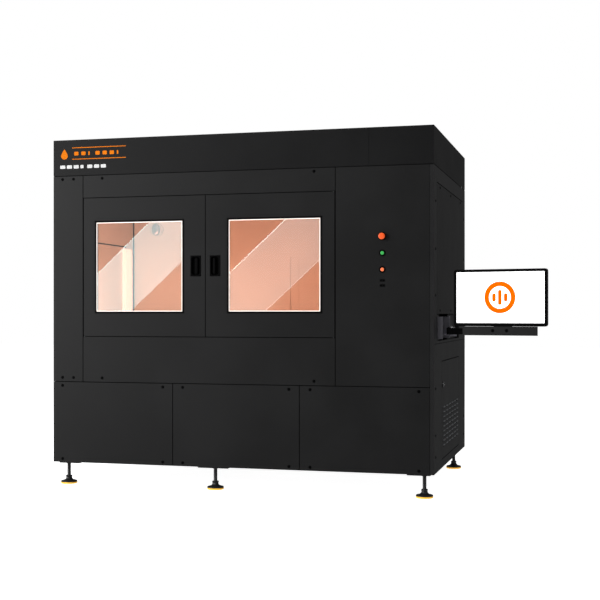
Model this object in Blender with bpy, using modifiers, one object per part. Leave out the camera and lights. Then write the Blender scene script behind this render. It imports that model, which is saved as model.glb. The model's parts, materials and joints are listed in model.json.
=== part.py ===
"""Large laser resin printer (stereolithography machine) standing on levelling feet.

Cabinet frame while modelling: +X to the operator's right, -Y towards the operator, +Z up,
x = y = 0 at the middle of the cabinet and z = 0 on the floor. Everything hangs from one empty,
which finally moves the model so that the world origin is under the middle of its bounding box.
"""

import math

import bmesh
import bpy
from mathutils import Matrix, Vector

# ---------------------------------------------------------------- overall sizes (metres)
WIDTH = 2.500
DEPTH = 1.550
BODY_HEIGHT = 2.100
FOOT_HEIGHT = 0.150

# ---------------------------------------------------------------- sheet metal
SHEET = 0.0015
PAN_DEPTH = 0.020
REVEAL = 0.005
TOUCH = 0.0003
SIDE_PAN_DEPTH = 0.024

# ---------------------------------------------------------------- front layout
LEFT_COLUMN = 0.213
RIGHT_COLUMN = 0.609
BASE_PANEL_HEIGHT = 0.522
LOWER_PANEL_HEIGHT = 0.291
UPPER_PANEL_HEIGHT = 0.142
HEADER_HEIGHT = 0.232
HEADER_SEAM_FROM_RIGHT = 0.397

# ---------------------------------------------------------------- doors
DOOR_THICKNESS = 0.032
PIVOT_INSET = 0.009
PIN_RADIUS = 0.004
WINDOW_HINGE_MARGIN = 0.087
WINDOW_HANDLE_MARGIN = 0.150
WINDOW_RAIL_MARGIN = 0.156
GLASS_THICKNESS = 0.006
GLASS_OVERLAP = 0.014
HANDLE_WIDTH = 0.070
HANDLE_HEIGHT = 0.131
HANDLE_DEPTH = 0.021
HANDLE_FROM_EDGE = 0.027
HANDLE_WALL = 0.002

# ---------------------------------------------------------------- controls
CONTROLS_FROM_RIGHT = 0.314
ESTOP_LEVEL = 1.437
START_LEVEL = 1.336
PAUSE_LEVEL = 1.236
USB_LEVEL = 1.154
ESTOP_CAP_RADIUS = 0.020
ESTOP_CAP_HEIGHT = 0.014
ESTOP_STEM_RADIUS = 0.0085
ESTOP_STAND_OFF = 0.014
BUTTON_RADIUS = 0.011
BUTTON_PROUD = 0.006
BUTTON_LENGTH = 0.030
BUTTON_CLEARANCE = 0.0004
USB_WIDTH = 0.023
USB_HEIGHT = 0.008
USB_PITCH = 0.031

# ---------------------------------------------------------------- right-hand side
SERVICE_FRONT_MARGIN = 0.130
SERVICE_REAR_MARGIN = 0.150
SERVICE_TOP_MARGIN = 0.100
POCKET_LEVEL = 0.800
POCKET_HEIGHT = 0.162
POCKET_FRONT_MARGIN = 0.150
POCKET_LENGTH = 1.050
POCKET_DEPTH = 0.062
ACCESS_FRONT_MARGIN = 0.345
ACCESS_LENGTH = 0.840
ACCESS_LEVEL = 0.057
ACCESS_HEIGHT = 0.610
ACCESS_THICKNESS = 0.018
LOUVRE_ROWS = 9
LOUVRE_COLUMNS = 6
LOUVRE_LENGTH = 0.088
LOUVRE_HEIGHT = 0.010
LOUVRE_ROW_PITCH = 0.030
LOUVRE_COLUMN_PITCH = 0.130
LOUVRE_LEVEL = 0.127
LATCH_LEVEL = 0.520
LATCH_INSET = 0.032
LATCH_RADIUS = 0.013
LATCH_SHAFT_RADIUS = 0.008
CAM_REACH = 0.044
CAM_THICKNESS = 0.003
STRIKER = 0.014

# ---------------------------------------------------------------- frame
POST = 0.044
RAIL = 0.038
WELD_DEPTH = 0.010
FRAME_GAP = 0.003
FOOT_INSET_X = 0.070
FOOT_INSET_Y = 0.085
MIDDLE_FOOT_X = -0.160
FOOT_PLATE_LENGTH = 0.200
FOOT_PLATE_WIDTH = 0.110
FOOT_PLATE_THICKNESS = 0.010
BEARER_WIDTH = 0.040
VAT_BEARER_SPACING = 0.400
CONTROLLER_BEARER_TOP = 0.060

# ---------------------------------------------------------------- levelling feet
PAD_RADIUS = 0.053
PAD_RUBBER = 0.010
PAD_DISC = 0.016
PAD_CONE = 0.022
STUD_RADIUS = 0.012

# ---------------------------------------------------------------- build chamber
CHAMBER_WALL = 0.003
CHAMBER_LEFT_MARGIN = 0.078
CHAMBER_RIGHT_MARGIN = 0.020
CHAMBER_FRONT_MARGIN = 0.072
REAR_BAY = 0.420
DECK_BELOW_DOORS = 0.026
DECK_THICKNESS = 0.006
CEILING_THICKNESS = 0.012
SCAN_WINDOW_RADIUS = 0.080
SCAN_HEAD_SPACING = 0.800
SCAN_HEAD_SIZE = (0.240, 0.420, 0.220)
SCAN_HEAD_SHIFT = 0.090

# ---------------------------------------------------------------- vat and elevator
VAT_SIDE_MARGIN = 0.070
VAT_FRONT_MARGIN = 0.060
VAT_REAR_MARGIN = 0.030
VAT_WALL = 0.006
VAT_FLOOR_CLEARANCE = 0.030
DECK_OVERHANG = 0.002
PLATFORM_MARGIN = 0.030
PLATFORM_THICKNESS = 0.012
PLATFORM_BELOW_DECK = 0.032
LEG_BAY = 0.120
LEG_REAR_CLEARANCE = 0.020
LEG_WIDTH = 0.040
LEG_DEPTH = 0.036
FORK_SPACING = 0.700
FORK_BEAM_HEIGHT = 0.040
ELEVATOR_TRAVEL = 0.500
ARM_MARGIN = 0.030
SLOT_CLEARANCE = 0.008
CARRIAGE_THICKNESS = 0.028
CARRIAGE_HEIGHT = 0.240
CARRIAGE_OVERHANG = 0.060
COLUMN_WIDTH = 0.620
COLUMN_THICKNESS = 0.080
COLUMN_ABOVE_RAILS = 0.200
Z_RAIL_WIDTH = 0.030
Z_RAIL_DEPTH = 0.026
Z_RAIL_INSET = 0.045
SCREW_RADIUS = 0.016
NUT_CLEARANCE = 0.001
MOTOR_SIDE = 0.080
MOTOR_HEIGHT = 0.110

# ---------------------------------------------------------------- recoater
Y_RAIL_WIDTH = 0.022
Y_RAIL_HEIGHT = 0.020
Y_RAIL_INSET = 0.036
BEAM_DEPTH = 0.056
BEAM_HEIGHT = 0.080
BLADE_THICKNESS = 0.008
BLADE_BELOW_DECK = 0.021
RECOATER_START = 0.020

# ---------------------------------------------------------------- controller
CONTROLLER_SIZE = (0.400, 0.700, 0.560)
CONTROLLER_SIDE_GAP = 0.070

# ---------------------------------------------------------------- monitor arm
ARM_PIVOT_OUT = 0.045
ARM_PIVOT_BACK = 0.450
LINK_LEVEL = 0.8376
LINK_HEIGHT = 0.040
LINK_RADIUS = 0.030
LOWER_LINK_LENGTH = 0.360
UPPER_LINK_LENGTH = 0.340
LOWER_LINK_HEADING = -29.1
UPPER_LINK_HEADING = -79.1
BRACKET_END_WIDTH = 0.030
BRACKET_PLATE = 0.008
BRACKET_SHELF = 0.012
MONITOR_WIDTH = 0.554
MONITOR_HEIGHT = 0.330
MONITOR_DEPTH = 0.022
MONITOR_BULGE = 0.008
MONITOR_CORNER = 0.014
MONITOR_LEVEL = 1.060
MONITOR_FORWARD = 0.100
MONITOR_YAW = -12.0
SCREEN_WIDTH = 0.527
SCREEN_HEIGHT = 0.296
SCREEN_THICKNESS = 0.003
SCREEN_RISE = 0.002
HEAD_PLATE = 0.006
HEAD_BACK = 0.034
KNUCKLE_OUT = 0.018
KNUCKLE_RADIUS = 0.008
TILT_PIN_RADIUS = 0.005
CHEEK_SPACING = 0.034
CHEEK_THICKNESS = 0.008
TRAY_WIDTH = 0.445
TRAY_LENGTH = 0.164
TRAY_FLOOR_WIDTH = 0.355
TRAY_LIP = 0.052
TRAY_RETURN = 0.020
TRAY_SHEET = 0.003
TRAY_BELOW_MONITOR = 0.001
TRAY_AHEAD_OF_MONITOR = 0.004
RUNNER_INNER = 0.036
RUNNER_OUTER = 0.054
RUNNER_TOP = 0.0205
RUNNER_HEIGHT = 0.010
RUNNER_BACK = 0.050
HOOK_SHEET = 0.003
HOOK_LENGTH = 0.060

# ---------------------------------------------------------------- worked-out places
LEFT, RIGHT = -WIDTH / 2, WIDTH / 2
FRONT, REAR = -DEPTH / 2, DEPTH / 2
BAY_LEFT = LEFT + LEFT_COLUMN
BAY_RIGHT = RIGHT - RIGHT_COLUMN
LOWER_LEVEL = BASE_PANEL_HEIGHT + REVEAL
DOOR_LEVEL = LOWER_LEVEL + LOWER_PANEL_HEIGHT + REVEAL
HEADER_LEVEL = BODY_HEIGHT - HEADER_HEIGHT
UPPER_LEVEL = HEADER_LEVEL - REVEAL - UPPER_PANEL_HEIGHT
DOOR_TOP = UPPER_LEVEL - REVEAL
DOOR_HEIGHT = DOOR_TOP - DOOR_LEVEL
DOOR_WIDTH = (BAY_RIGHT - BAY_LEFT - 2 * REVEAL) / 2
CONTROLS_X = RIGHT - CONTROLS_FROM_RIGHT

CHAMBER_X = (LEFT + CHAMBER_LEFT_MARGIN, BAY_RIGHT - CHAMBER_RIGHT_MARGIN)
CHAMBER_Y = (FRONT + CHAMBER_FRONT_MARGIN, REAR - REAR_BAY)
DECK_LEVEL = DOOR_LEVEL - DECK_BELOW_DOORS
CEILING_LEVEL = UPPER_LEVEL + REVEAL
VAT_X = (CHAMBER_X[0] + VAT_SIDE_MARGIN, CHAMBER_X[1] - VAT_SIDE_MARGIN)
VAT_Y = (CHAMBER_Y[0] + VAT_FRONT_MARGIN, CHAMBER_Y[1] - VAT_REAR_MARGIN)
PLATFORM_TOP = DECK_LEVEL - PLATFORM_BELOW_DECK - ELEVATOR_TRAVEL
PLATFORM_X = (VAT_X[0] + VAT_WALL + PLATFORM_MARGIN, VAT_X[1] - VAT_WALL - PLATFORM_MARGIN)
PLATFORM_Y = (VAT_Y[0] + VAT_WALL + PLATFORM_MARGIN, VAT_Y[1] - VAT_WALL - LEG_BAY)
PLATFORM_CENTRE_X = sum(PLATFORM_X) / 2
FORK_BOTTOM = PLATFORM_TOP - PLATFORM_THICKNESS - TOUCH - FORK_BEAM_HEIGHT
VAT_BOTTOM = FORK_BOTTOM - VAT_FLOOR_CLEARANCE - VAT_WALL
LEG_Y = (VAT_Y[1] - VAT_WALL - LEG_REAR_CLEARANCE - LEG_DEPTH, VAT_Y[1] - VAT_WALL - LEG_REAR_CLEARANCE)
ARM_LEVEL = DECK_LEVEL + ARM_MARGIN
CARRIAGE_Y = (CHAMBER_Y[1] + CHAMBER_WALL + ARM_MARGIN,
              CHAMBER_Y[1] + CHAMBER_WALL + ARM_MARGIN + CARRIAGE_THICKNESS)
COLUMN_Y = (CARRIAGE_Y[1] + TOUCH + Z_RAIL_DEPTH,
            CARRIAGE_Y[1] + TOUCH + Z_RAIL_DEPTH + COLUMN_THICKNESS)
CARRIAGE_LEVEL = ARM_LEVEL - CARRIAGE_HEIGHT / 2
RAIL_LEVELS = (CARRIAGE_LEVEL - ARM_MARGIN, CARRIAGE_LEVEL + CARRIAGE_HEIGHT + ELEVATOR_TRAVEL + ARM_MARGIN)
COLUMN_TOP = RAIL_LEVELS[1] + COLUMN_ABOVE_RAILS
CONTROLLER_X = (CHAMBER_X[1] + CONTROLLER_SIDE_GAP, CHAMBER_X[1] + CONTROLLER_SIDE_GAP + CONTROLLER_SIZE[0])

TRAY_LEVEL = MONITOR_LEVEL - MONITOR_HEIGHT / 2 - TRAY_BELOW_MONITOR
POCKET_Y = (FRONT + POCKET_FRONT_MARGIN, FRONT + POCKET_FRONT_MARGIN + POCKET_LENGTH)
ACCESS_Y = (FRONT + ACCESS_FRONT_MARGIN, FRONT + ACCESS_FRONT_MARGIN + ACCESS_LENGTH)
SERVICE_Y = (FRONT + SERVICE_FRONT_MARGIN, REAR - SERVICE_REAR_MARGIN)
SERVICE_LEVELS = (POCKET_LEVEL + POCKET_HEIGHT + REVEAL, HEADER_LEVEL - SERVICE_TOP_MARGIN)


# ---------------------------------------------------------------- scene and materials
def clear_scene():
    for old in list(bpy.data.objects):
        bpy.data.objects.remove(old, do_unlink=True)


def collection(name, hidden=False):
    made = bpy.data.collections.new(name)
    bpy.context.scene.collection.children.link(made)
    made.hide_render = hidden
    return made


def material(name, colour, roughness, metallic=0.0, alpha=1.0):
    made = bpy.data.materials.new(name)
    made.use_nodes = True
    shader = made.node_tree.nodes["Principled BSDF"]
    shader.inputs["Base Color"].default_value = (*colour, 1.0)
    shader.inputs["Roughness"].default_value = roughness
    shader.inputs["Metallic"].default_value = metallic
    shader.inputs["Alpha"].default_value = alpha
    return made


clear_scene()
PARTS = collection("resin_printer")
CUTTERS = collection("cutters", hidden=True)

BODY_PAINT = material("body_paint", (0.028, 0.028, 0.029), 0.55)
HEADER_PAINT = material("header_paint", (0.016, 0.016, 0.017), 0.50)
FRAME_PAINT = material("frame_paint", (0.020, 0.020, 0.021), 0.60)
BLACK_PLASTIC = material("black_plastic", (0.008, 0.008, 0.009), 0.35)
AMBER_ACRYLIC = material("amber_acrylic", (0.85, 0.33, 0.16), 0.05, alpha=0.45)
CHAMBER_WHITE = material("chamber_white", (0.80, 0.78, 0.75), 0.45)
STAINLESS = material("stainless", (0.55, 0.55, 0.56), 0.30, 1.0)
ALUMINIUM = material("aluminium", (0.45, 0.45, 0.48), 0.35, 1.0)
STEEL = material("steel", (0.40, 0.40, 0.41), 0.25, 1.0)
FOOT_BLACK = material("foot_black", (0.020, 0.020, 0.022), 0.40)
RED_PLASTIC = material("red_plastic", (0.85, 0.10, 0.03), 0.35)
GREEN_LENS = material("green_lens", (0.07, 0.55, 0.14), 0.25)
ORANGE_LENS = material("orange_lens", (0.90, 0.25, 0.08), 0.25)
SCREEN_GLASS = material("screen_glass", (0.95, 0.95, 0.95), 0.15)


# ---------------------------------------------------------------- modelling helpers
def above_floor(level):
    """Height above the floor of a level measured from the underside of the body."""
    return FOOT_HEIGHT + level


def levels(low, high):
    return (above_floor(low), above_floor(high))


def attach(obj, parent, point, local=False):
    """Parents obj and puts its origin at point, which is in the cabinet frame unless local."""
    obj.parent = parent
    obj.matrix_parent_inverse = Matrix.Identity(4)
    if local:
        obj.location = point
    else:
        obj.location = parent.matrix_world.inverted() @ (ORIGIN.matrix_world @ Vector(point))


def empty(name, point, parent=None, turn=0.0):
    """An empty on a joint's axis, in the cabinet frame, turned about Z by that many degrees."""
    made = bpy.data.objects.new(name, None)
    PARTS.objects.link(made)
    if parent is not None:
        attach(made, parent, point)
        made.rotation_euler.z = math.radians(turn)
    bpy.context.view_layer.update()
    return made


def mesh_object(name, shape, paint, helper=False):
    mesh = bpy.data.meshes.new(name)
    shape.to_mesh(mesh)
    shape.free()
    made = bpy.data.objects.new(name, mesh)
    (CUTTERS if helper else PARTS).objects.link(made)
    if paint is not None:
        mesh.materials.append(paint)
    if helper:
        made.hide_render = True
        made.display_type = "WIRE"
    return made


def cube_shape(size):
    shape = bmesh.new()
    bmesh.ops.create_cube(shape, size=1.0)
    bmesh.ops.scale(shape, vec=size, verts=shape.verts)
    return shape


def block(name, x, y, z, paint, parent=None, helper=False, local=False):
    """A box between two planes on each axis."""
    spans = (x, y, z)
    made = mesh_object(name, cube_shape([high - low for low, high in spans]), paint, helper)
    attach(made, parent or ORIGIN, [(low + high) / 2 for low, high in spans], local)
    return made


AXIS_TURNS = {"X": (0, math.pi / 2, 0), "Y": (math.pi / 2, 0, 0), "Z": (0, 0, 0)}


def rod(name, radius, length, centre, axis, paint, parent=None, helper=False, local=False, sides=32):
    """A round bar of that length along X, Y or Z."""
    shape = bmesh.new()
    bmesh.ops.create_cone(shape, cap_ends=True, segments=sides, radius1=radius, radius2=radius, depth=length)
    made = mesh_object(name, shape, paint, helper)
    attach(made, parent or ORIGIN, centre, local)
    made.rotation_euler = AXIS_TURNS[axis]
    return made


def boolean(obj, other, operation):
    step = obj.modifiers.new(other.name, "BOOLEAN")
    step.operation = operation
    step.object = other
    return obj


def cut(obj, *cutters):
    for cutter in cutters:
        boolean(obj, cutter, "DIFFERENCE")
    return obj


def fuse(obj, *pieces):
    for piece in pieces:
        boolean(obj, piece, "UNION")
    return obj


def pan(name, x, z, depth, paint, face, facing="front", parent=None, wall=SHEET, closed=False):
    """A folded sheet-metal panel: a face plate with four returns.

    x and z are its spans along the cabinet side that it faces (x runs to the right seen from outside),
    face is where its outer face lies, and closed adds a rear skin.
    """
    width, height = x[1] - x[0], z[1] - z[0]
    shape = cube_shape((width, depth, height))
    if not closed:
        back = max(shape.faces, key=lambda f: f.calc_center_median().y)
        bmesh.ops.delete(shape, geom=[back], context="FACES_ONLY")
    made = mesh_object(name, shape, paint)
    skin = made.modifiers.new("sheet", "SOLIDIFY")
    skin.thickness = wall
    skin.offset = -1
    skin.use_even_offset = True
    along, middle, up = (x[0] + x[1]) / 2, depth / 2, (z[0] + z[1]) / 2
    centre, turn = {
        "front": ((along, face + middle, up), 0.0),
        "right": ((face - middle, along, up), math.pi / 2),
        "left": ((face + middle, -along, up), -math.pi / 2),
        "rear": ((-along, face - middle, up), math.pi),
    }[facing]
    attach(made, parent or ORIGIN, centre)
    made.rotation_euler.z = turn
    return made


def turned(name, profile, paint, point, parent=None, steps=32, local=False):
    """A solid turned about Z from (radius, height) points, running down its outer side."""
    shape = bmesh.new()
    corners = [shape.verts.new((radius, 0, height)) for radius, height in profile]
    for first, second in zip(corners, corners[1:]):
        shape.edges.new((first, second))
    made = mesh_object(name, shape, paint)
    spin = made.modifiers.new("turn", "SCREW")
    spin.steps = spin.render_steps = steps
    spin.use_merge_vertices = True
    spin.merge_threshold = 0.0001
    attach(made, parent or ORIGIN, point, local)
    return made


ORIGIN = empty("printer_origin", (0, 0, 0))


# ---------------------------------------------------------------- levelling feet
def foot_places():
    """(name, x, y) of the six feet."""
    columns = (("left", LEFT + FOOT_INSET_X), ("middle", MIDDLE_FOOT_X), ("right", RIGHT - FOOT_INSET_X))
    rows = (("front", FRONT + FOOT_INSET_Y), ("rear", REAR - FOOT_INSET_Y))
    return [(f"foot_{row}_{column}", x, y) for row, y in rows for column, x in columns]


def make_feet():
    cone_top = PAD_RUBBER + PAD_DISC + PAD_CONE
    profile = [
        (0, FOOT_HEIGHT - FOOT_PLATE_THICKNESS - TOUCH),
        (STUD_RADIUS, FOOT_HEIGHT - FOOT_PLATE_THICKNESS - TOUCH),
        (STUD_RADIUS, cone_top),
        (STUD_RADIUS * 1.5, cone_top - 0.004),
        (PAD_RADIUS * 0.72, PAD_RUBBER + PAD_DISC),
        (PAD_RADIUS, PAD_RUBBER + PAD_DISC * 0.6),
        (PAD_RADIUS, PAD_RUBBER),
        (PAD_RADIUS - 0.003, 0),
        (0, 0),
    ]
    for name, x, y in foot_places():
        turned(name, profile, FOOT_BLACK, (x, y, 0), steps=24)


# ---------------------------------------------------------------- welded frame
def make_frame():
    """Six posts and four rings of square bar, with a plate over each foot."""
    x_in = (LEFT + SIDE_PAN_DEPTH + FRAME_GAP, RIGHT - SIDE_PAN_DEPTH - FRAME_GAP)
    y_in = (FRONT + PAN_DEPTH + FRAME_GAP, REAR - PAN_DEPTH - FRAME_GAP)
    top = BODY_HEIGHT - PAN_DEPTH - FRAME_GAP
    post_inset = (POST - RAIL) / 2
    posts_x = (x_in[0], x_in[1] - POST)
    posts_y = (y_in[0], y_in[1] - POST)
    post_spans = [((x, x + POST), (y, y + POST)) for x in posts_x for y in posts_y]
    pillar_y = (y_in[0], y_in[0] + POST)
    pillars = (
        (BAY_LEFT - REVEAL - POST, BAY_LEFT - REVEAL),
        (BAY_RIGHT + REVEAL + CHAMBER_WALL, BAY_RIGHT + REVEAL + CHAMBER_WALL + POST),
    )
    post_spans += [(x, pillar_y) for x in pillars]
    frame = block("frame", *post_spans[0], levels(0, top), FRAME_PAINT)
    for i, (x, y) in enumerate(post_spans[1:]):
        fuse(frame, block(f"frame_post_{i}", x, y, levels(0, top), None, helper=True))
    ring_levels = (post_inset, DECK_LEVEL - 0.10, CEILING_LEVEL - RAIL - 0.012, top - RAIL - post_inset)
    for i, level in enumerate(ring_levels):
        z = levels(level, level + RAIL)
        inner_x = (x_in[0] + POST - WELD_DEPTH, x_in[1] - POST + WELD_DEPTH)
        inner_y = (y_in[0] + POST - WELD_DEPTH, y_in[1] - POST + WELD_DEPTH)
        for j, y in enumerate(posts_y):
            if i == 2 and j == 0:
                continue
            rail_y = (y + post_inset, y + post_inset + RAIL)
            fuse(frame, block(f"frame_x_rail_{i}_{j}", inner_x, rail_y, z, None, helper=True))
        for j, x in enumerate(posts_x):
            rail_x = (x + post_inset, x + post_inset + RAIL)
            fuse(frame, block(f"frame_y_rail_{i}_{j}", rail_x, inner_y, z, None, helper=True))
    low = levels(post_inset, post_inset + RAIL)
    beam_x = (MIDDLE_FOOT_X - RAIL / 2, MIDDLE_FOOT_X + RAIL / 2)
    beam_y = (y_in[0] + post_inset + WELD_DEPTH, y_in[1] - post_inset - WELD_DEPTH)
    low_beam = (low[0] + 0.002, low[1] - 0.002)
    fuse(frame, block("frame_cross_beam", beam_x, beam_y, low_beam, None, helper=True))
    bearers = [(PLATFORM_CENTRE_X + sign * VAT_BEARER_SPACING / 2, VAT_BOTTOM - TOUCH) for sign in (-1, 1)]
    bearers += [(x, CONTROLLER_BEARER_TOP) for x in (CONTROLLER_X[0] + RAIL, CONTROLLER_X[1] - RAIL)]
    for i, (x, bearer_top) in enumerate(bearers):
        bearer_x = (x - BEARER_WIDTH / 2, x + BEARER_WIDTH / 2)
        bearer_z = levels(post_inset + 0.003, bearer_top)
        fuse(frame, block(f"bearer_{i}", bearer_x, beam_y, bearer_z, None, helper=True))
    for name, x, y in foot_places():
        plate_x = (max(x - FOOT_PLATE_LENGTH / 2, x_in[0] + 0.001), min(x + FOOT_PLATE_LENGTH / 2, x_in[1] - 0.001))
        plate_y = (max(y - FOOT_PLATE_WIDTH / 2, y_in[0] + 0.001), min(y + FOOT_PLATE_WIDTH / 2, y_in[1] - 0.001))
        plate_z = levels(-FOOT_PLATE_THICKNESS, 0.006)
        fuse(frame, block(f"plate_over_{name}", plate_x, plate_y, plate_z, None, helper=True))


# ---------------------------------------------------------------- outer panels
def make_front_panels():
    base_z = levels(0, BASE_PANEL_HEIGHT)
    lower_z = levels(LOWER_LEVEL, LOWER_LEVEL + LOWER_PANEL_HEIGHT)
    column_z = levels(LOWER_LEVEL, HEADER_LEVEL - REVEAL)
    upper_z = levels(UPPER_LEVEL, UPPER_LEVEL + UPPER_PANEL_HEIGHT)
    right_edge = RIGHT - SIDE_PAN_DEPTH - 0.002
    base_width = (right_edge - LEFT + SIDE_PAN_DEPTH - 2 * REVEAL) / 3
    starts = (LEFT, LEFT + base_width + REVEAL, LEFT + 2 * (base_width + REVEAL))
    ends = (LEFT + base_width, LEFT + 2 * base_width + REVEAL, right_edge)
    for name, low, high in zip(("left", "centre", "right"), starts, ends):
        pan(f"base_panel_{name}", (low, high), base_z, PAN_DEPTH, BODY_PAINT, FRONT)
    pan("left_column_panel", (LEFT, BAY_LEFT - REVEAL), column_z, PAN_DEPTH, BODY_PAINT, FRONT)
    bay = (BAY_LEFT, BAY_RIGHT)
    lower = pan("lower_front_panel", bay, lower_z, PAN_DEPTH, BODY_PAINT, FRONT)
    upper = pan("upper_front_panel", bay, upper_z, PAN_DEPTH, BODY_PAINT, FRONT)
    for side, x in PIN_X.items():
        hole = (x, PIN_Y, above_floor(DOOR_LEVEL + DOOR_HEIGHT / 2))
        cutter = rod(f"{side}_pin_hole", PIN_RADIUS + TOUCH, DOOR_HEIGHT + 0.05, hole, "Z", None, helper=True, sides=16)
        cut(lower, cutter)
        cut(upper, cutter)
    return (BAY_RIGHT + REVEAL, right_edge), column_z


def make_control_panel(x, z):
    panel = pan("control_panel", x, z, PAN_DEPTH, BODY_PAINT, FRONT)
    holes = (("estop", ESTOP_LEVEL, ESTOP_STEM_RADIUS), ("start", START_LEVEL, BUTTON_RADIUS),
             ("pause", PAUSE_LEVEL, BUTTON_RADIUS))
    for name, level, radius in holes:
        centre = (CONTROLS_X, FRONT, above_floor(level))
        cut(panel, rod(f"{name}_hole", radius + BUTTON_CLEARANCE, 0.01, centre, "Y", None, helper=True, sides=24))
    for i, level in enumerate((USB_LEVEL - USB_PITCH / 2, USB_LEVEL + USB_PITCH / 2)):
        x_slot = (CONTROLS_X - USB_WIDTH / 2, CONTROLS_X + USB_WIDTH / 2)
        z_slot = levels(level - USB_HEIGHT / 2, level + USB_HEIGHT / 2)
        cut(panel, block(f"usb_slot_{i}", x_slot, (FRONT - 0.005, FRONT + 0.005), z_slot, None, helper=True))


def make_header():
    """Two folded pieces that wrap the front corners, and the roof panel that lies on them."""
    z = levels(HEADER_LEVEL, BODY_HEIGHT)
    seam = RIGHT - HEADER_SEAM_FROM_RIGHT
    wraps = (("header_left", (LEFT, seam - 0.001), -1), ("header_right", (seam + 0.001, RIGHT), 1))
    for name, x, side in wraps:
        left = side < 0
        wrap = block(name, x, (FRONT, REAR - PAN_DEPTH - REVEAL if left else REAR), z, HEADER_PAINT)
        inner_x = (x[0] + SHEET, x[1] + 0.1) if left else (x[0] - 0.1, x[1] - SHEET)
        inner_y = (FRONT + SHEET, REAR + 0.1 if left else REAR - SHEET)
        cut(wrap, block(f"{name}_inside", inner_x, inner_y, (z[0] - 0.1, z[1] + 0.1), None, helper=True))
        if not left:
            beside_rear_panel = (x[0] - 0.1, RIGHT - SIDE_PAN_DEPTH - 0.002 + REVEAL)
            cut(wrap, block("rear_panel_notch", beside_rear_panel, (REAR - PAN_DEPTH, REAR + 0.1),
                            (z[0] - 0.1, z[1] + 0.1), None, helper=True))
        lip_x = (x[0] + 0.0005, x[1] - 0.0005)
        lip = block(f"{name}_lip", lip_x, (FRONT + 0.0005, FRONT + PAN_DEPTH), (z[0] + 0.0002, z[0] + 0.002), None,
                    helper=True)
        fuse(wrap, lip)
    roof_x = (LEFT + SHEET + TOUCH, RIGHT - SHEET - TOUCH)
    roof_y = (FRONT + SHEET + TOUCH, REAR - SHEET - TOUCH)
    roof_z = levels(BODY_HEIGHT - PAN_DEPTH, BODY_HEIGHT - TOUCH)
    roof = block("roof_panel", roof_x, roof_y, roof_z, HEADER_PAINT)
    cut(roof, block("roof_inside", (roof_x[0] + SHEET, roof_x[1] - SHEET), (roof_y[0] + SHEET, roof_y[1] - SHEET),
                    (roof_z[0] - 0.1, roof_z[1] - SHEET), None, helper=True))


def make_right_side():
    """The side skin with its arm pocket, the service panel above it and the louvred access door below it."""
    z = levels(0, HEADER_LEVEL - REVEAL)
    side = pan("side_surround_right", (FRONT, REAR), z, SIDE_PAN_DEPTH, BODY_PAINT, RIGHT, "right")
    pocket_z = levels(POCKET_LEVEL, POCKET_LEVEL + POCKET_HEIGHT)
    shell = block("pocket_shell", (RIGHT - POCKET_DEPTH - SHEET, RIGHT - SHEET / 2),
                  (POCKET_Y[0] - SHEET, POCKET_Y[1] + SHEET), (pocket_z[0] - SHEET, pocket_z[1] + SHEET), None,
                  helper=True)
    hollow = block("pocket_hollow", (RIGHT - POCKET_DEPTH, RIGHT + 0.01), POCKET_Y, pocket_z, None, helper=True)
    access_z = levels(ACCESS_LEVEL, ACCESS_LEVEL + ACCESS_HEIGHT)
    service_z = levels(*SERVICE_LEVELS)
    through = (RIGHT - SIDE_PAN_DEPTH / 2, RIGHT + 0.01)
    openings = [
        block(f"{name}_opening", through, (y[0] - REVEAL, y[1] + REVEAL), (zz[0] - REVEAL, zz[1] + REVEAL), None,
              helper=True)
        for name, y, zz in (("access", ACCESS_Y, access_z), ("service", SERVICE_Y, service_z))
    ]
    striker_y = (ACCESS_Y[0] - REVEAL - STRIKER - 0.002, ACCESS_Y[0] - REVEAL - 0.002)
    striker_z = levels(LATCH_LEVEL - STRIKER, LATCH_LEVEL + STRIKER)
    striker = block("latch_striker", (RIGHT - ACCESS_THICKNESS, RIGHT - SHEET / 2), striker_y, striker_z, None,
                    helper=True)
    cut(fuse(side, shell, striker), hollow, *openings)
    pan("side_service_panel", SERVICE_Y, service_z, SIDE_PAN_DEPTH - 0.004, BODY_PAINT, RIGHT, "right")
    make_access_door(access_z)


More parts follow.
